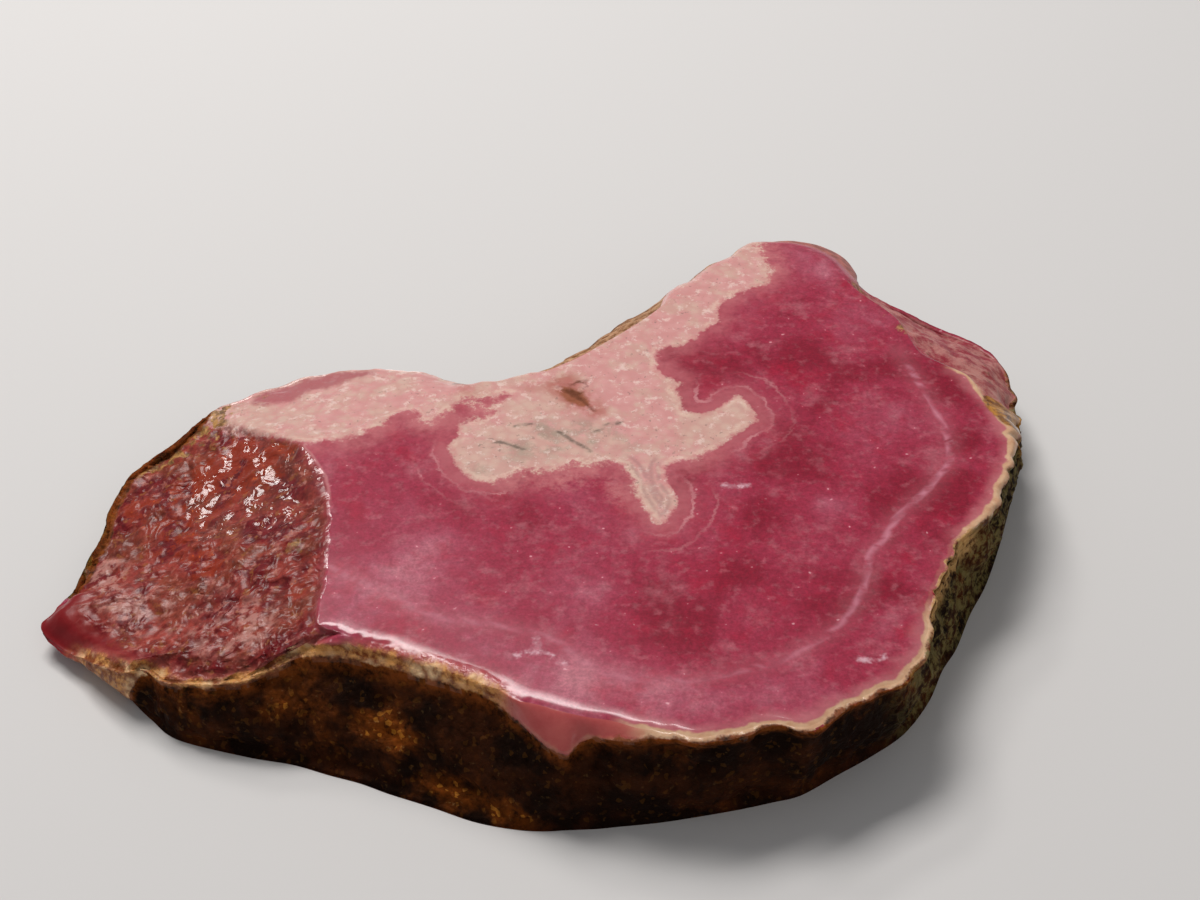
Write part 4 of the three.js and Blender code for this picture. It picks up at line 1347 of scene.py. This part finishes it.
# %% Skin materials
CREST_PINK = linear(162, 78, 86)
LOBE_BROWN = linear(116, 52, 26)
LOBE_SALMON = linear(184, 100, 84)
TIP_DARK = linear(106, 8, 16)
TIP_RED = linear(136, 32, 36)
SHELF_RED = linear(138, 36, 50)
SHELF_PINK = linear(182, 124, 116)
SHELF_BROWN = linear(100, 66, 44)
EDGE_HIGHLIGHT_PINK = linear(200, 140, 138)
LUMP_BROWN = linear(92, 50, 10)
LUMP_AMBER = linear(188, 130, 40)
FULL_SHEEN, WORN_SHEEN, CRUST_SHEEN = 0.5, 0.22, 0.06
POLISHED_ROUGHNESS, CHALKY_ROUGHNESS = 0.16, 0.2


def crest_band(tree, where, colour):
    """The rosy band across the upper arm, with a ragged edge."""
    crest = ragged(tree, stored(tree, "crest_mm"), where, 1.1, 0.9, 0.7)
    return tint(tree, soft_step(tree, crest, -0.4, 0.5, 0.8, 0.0), colour, CREST_PINK)


def set_stone_numbers(shader, specular):
    """The constant numbers of the mineral: its bending of light, its sheen and its glow below the skin."""
    shader.inputs["IOR"].default_value = 1.47
    shader.inputs["Specular IOR Level"].default_value = specular
    shader.inputs["Subsurface Weight"].default_value = 0.12
    shader.inputs["Subsurface Radius"].default_value = (1.0, 0.35, 0.35)
    shader.inputs["Subsurface Scale"].default_value = 1.0 * MM


def face_material():
    """The open face, away from every rim: the growth colours, the crest band and the polish alone."""
    material, tree, shader = begin_material("polished_face")
    where = put(tree, "ShaderNodeTexCoord").outputs["Object"]
    colour, pale = growth_colour(tree, where)
    tree.links.new(crest_band(tree, where, colour), shader.inputs["Base Color"])
    rough = blend(tree, pale, POLISHED_ROUGHNESS, CHALKY_ROUGHNESS)
    tree.links.new(rough, shader.inputs["Roughness"])
    set_stone_numbers(shader, FULL_SHEEN)
    return material


def break_height(tree, where, broken, shelf):
    """Thin curly ridges, where a slow noise crosses its middle, and fine grains on break and shelf."""
    curls = calc(tree, "SUBTRACT", grain(tree, where, 1.9, 2.0, 0.5, 0.7), 0.5)
    ridges = soft_step(tree, calc(tree, "ABSOLUTE", curls), 0.0, 0.15, 1.0, 0.0)
    bare_break = both(tree, broken, soft_step(tree, stored(tree, "tip"), 0.0, 0.6, 1.0, 0.15))
    grainy = calc(tree, "MULTIPLY_ADD", bare_break, 0.12, shelf)
    fine_height = both(tree, grain(tree, where, 0.3, 3.0, 0.6), grainy, 0.4)
    return calc(tree, "ADD", both(tree, ridges, bare_break, 0.26), fine_height)


def stone_material(name, specular, with_growth=True, with_break=True):
    """Growth colours, then the break's stains, the tip, the shelf and the rind, with their own polish."""
    material, tree, shader = begin_material(name)
    where = put(tree, "ShaderNodeTexCoord").outputs["Object"]
    if with_growth:
        colour, pale = growth_colour(tree, where)
    else:
        body = use_group(tree, pink_body, {"Where": where, "Depth": stored(tree, "depth")})
        colour, pale = body["Color"], 0.0
    colour = crest_band(tree, where, colour)
    lobe_edge = soft_step(tree, ragged(tree, stored(tree, "lobe"), where, 1.2, 0.25), 0.3, 0.8, 0.0, 0.8)
    lobe_stain = clouds(tree, where, (1.1, 4.0, 0.7), 0.38, 0.62)
    lobe_stain = tint(tree, lobe_stain, LOBE_BROWN, LOBE_SALMON)
    colour = tint(tree, lobe_edge, colour, lobe_stain)

    broken = stored(tree, "broken") if with_break else 0.0
    if with_break:
        colour = break_colour(tree, where, colour, pale, broken)
    tip_red = tint(tree, grain(tree, where, 2.0, 3.0), TIP_DARK, TIP_RED)
    colour = tint(tree, both(tree, stored(tree, "tip"), 0.95), colour, tip_red)
    shelf = stored(tree, "shelf")
    shelf_colour = tint(tree, clouds(tree, where, (1.5, 4.0, 0.7), 0.38, 0.62), SHELF_RED, SHELF_PINK)
    shelf_colour = tint(
        tree, clouds(tree, where, (0.8, 4.0, 0.6), 0.58, 0.7, 0.0, 0.75), shelf_colour, SHELF_BROWN,
    )
    colour = tint(tree, both(tree, shelf, 0.85), colour, shelf_colour)
    # Painted highlight: the thin pale line where the face meets the upper break, as that edge catches the
    # light.
    painted_edge_highlight = both(tree, line(tree, stored(tree, "inwards_mm"), 0.0, 0.2, 0.5), stored(tree, "painted_edge_highlight"))
    colour = tint(tree, painted_edge_highlight, colour, EDGE_HIGHLIGHT_PINK)
    colour, golden_band, stained = rim_colours(tree, where, colour)

    crust_mm = stored(tree, "crust_mm")
    crust = use_group(tree, rind, feeds_from(tree, where, RIND_FEEDS))
    cover = soft_step(tree, ragged(tree, crust_mm, where, 1.1, 0.65, 0.68), -0.1, 0.2)
    colour = tint(tree, cover, colour, crust["Color"])
    lump = soft_step(tree, ragged(tree, stored(tree, "lump"), where, 0.8, 0.25), 0.35, 0.6)
    amber = clouds(tree, where, (0.9, 4.0, 0.7), 0.35, 0.65)
    amber = tint(tree, amber, LUMP_BROWN, LUMP_AMBER)
    colour = tint(tree, both(tree, lump, 0.9), colour, amber)

    polish = POLISHED_ROUGHNESS
    if with_growth:
        polish = blend(tree, pale, POLISHED_ROUGHNESS, CHALKY_ROUGHNESS)
    wet = soft_step(tree, stored(tree, "dimpled"), 0.2, 0.8, 0.3, 0.12)
    rough = blend(tree, broken, polish, wet)
    rough = blend(tree, shelf, rough, 0.5)
    rough = blend(tree, stained, rough, 0.5)
    rough = blend(tree, lobe_edge, rough, 0.5)
    rough = blend(tree, golden_band, rough, 0.45)
    rough = blend(tree, cover, rough, crust["Roughness"])

    bare_rim = soft_step(tree, stored(tree, "down_mm"), -1.6, -0.6)
    grainy = calc(
        tree, "MAXIMUM", soft_step(tree, crust_mm, -0.3, 0.5),
        both(tree, bare_rim, stored(tree, "golden_rim")),
    )
    height = both(tree, crust["Height"], grainy)
    if with_break:
        height = calc(tree, "ADD", height, break_height(tree, where, broken, shelf))
    bump = put(tree, "ShaderNodeBump", {"Height": height, "Distance": 0.25 * MM, "Strength": 1.0})

    tree.links.new(colour, shader.inputs["Base Color"])
    tree.links.new(rough, shader.inputs["Roughness"])
    tree.links.new(bump.outputs[0], shader.inputs["Normal"])
    set_stone_numbers(shader, specular)
    return material


print("the recipe of the skin is ready; its rind takes", len(RIND_FEEDS), "stored numbers")

# %% [markdown]
# ## The sawn underside
# Nobody polishes the side that lies down. It shows the same growth, since the layers run right through the
# slice, but through the fine parallel scratches and the grey dust of the saw. It is a material of its own
# because a matt, dusty finish has nothing else in common with the polished face.


# %% Underside material
SAW_DUST = linear(188, 150, 148)
SAW_MARK = linear(214, 194, 190)


def underside_material():
    """The growth colours dulled by dust, with straight saw marks as a fine height."""
    material, tree, shader = begin_material("sawn_underside")
    where = put(tree, "ShaderNodeTexCoord").outputs["Object"]
    colour, _ = growth_colour(tree, where)
    dust = clouds(tree, where, (4.0, 4.0, 0.6), 0.3, 0.75, 0.3, 0.55)
    colour = tint(tree, dust, colour, SAW_DUST)
    turned = put(
        tree, "ShaderNodeMapping", {"Vector": where, "Rotation": (0, 0, 0.35), "Scale": (1, 12, 1)},
    ).outputs[0]
    marks = grain(tree, turned, 2.5, 3.0, 0.7)
    colour = tint(tree, soft_step(tree, marks, 0.5, 0.7, 0.0, 0.2), colour, SAW_MARK)
    bump = put(tree, "ShaderNodeBump", {"Height": marks, "Distance": 0.06 * MM, "Strength": 1.0})
    rough = soft_step(tree, marks, 0.3, 0.7, 0.55, 0.75)
    tree.links.new(colour, shader.inputs["Base Color"])
    tree.links.new(rough, shader.inputs["Roughness"])
    tree.links.new(bump.outputs[0], shader.inputs["Normal"])
    return material


sawn_underside = underside_material()
print(sawn_underside.name, "has", len(sawn_underside.node_tree.nodes), "nodes")

# %% [markdown]
# ## Which skin goes where
# The crust scatters light and shows next to no sheen, the weathered parts have a little, and the polish and
# the fresh break have the full sheen of the mineral. So each face of the skin gets the material that fits
# its place. A little noise shifts the borders, so that no straight line between two skins can be seen.

# %% Slots
DULL_BELOW = 0.4
BORDER_NOISE = 0.4
OPEN_FACE_FROM = 3.0
skins = [
    stone_material("polished_stone", FULL_SHEEN, with_break=False),
    stone_material("weathered_stone", WORN_SHEEN),
    stone_material("dull_rind", CRUST_SHEEN, with_growth=False),
    sawn_underside,
    stone_material("glassy_break", FULL_SHEEN),
    face_material(),
]
POLISHED, WEATHERED, DULL, SAWN, GLASSY, OPEN_FACE = range(len(skins))
for skin_material in skins:
    stone_mesh.materials.append(skin_material)

shifted = BORDER_NOISE * fine_relief
dull = crust_mm + shifted > DULL_BELOW
golden_band = zone_is["shoulder"] * between(1.8, 12.5, 0.5) * eased(down_mm, -1.4, -0.6)
weathered = np.maximum(on_shelf, between(42, 45.5, 1) * zone_is["shoulder"]) * eased(t_here, 0.0, 0.2)
weathered = np.maximum(weathered, on_break * from_edge * (1 - dimples_here))
weathered = np.maximum(weathered, golden_band) + (zone_is["wall"] | zone_is["shoulder"]) * shifted > 0.5
broken_here = np.maximum(on_break, on_shelf) > 0.002
stains = (soft_spots(points, SPOTS["ochre"]) + soft_spots(points, SPOTS["lump"])).reshape(x.shape)
clean = (stains < 0.001) & (inwards_mm.reshape(x.shape) > 1.0)
point_slot = np.where(broken_here, GLASSY, POLISHED)
point_slot = np.where(weathered, WEATHERED, point_slot)
point_slot = np.where(zone_is["face"] & (down_mm < -OPEN_FACE_FROM) & clean, OPEN_FACE, point_slot)
point_slot = np.where(dull, DULL, point_slot)
point_slot = np.where(zone_is["underside"], SAWN, point_slot)
upper_fan, lower_fan = np.full(columns, POLISHED), np.full(columns, SAWN)
face_slot = np.concatenate([upper_fan, np.ravel(point_slot[1:]), lower_fan]).astype(np.int32)
stone_mesh.polygons.foreach_set("material_index", face_slot)
for number, skin_material in enumerate(skins):
    print(skin_material.name, "has", int((face_slot == number).sum()), "faces")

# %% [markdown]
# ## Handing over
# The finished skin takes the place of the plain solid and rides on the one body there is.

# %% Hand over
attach(stone, "root")
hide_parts(SOLID)
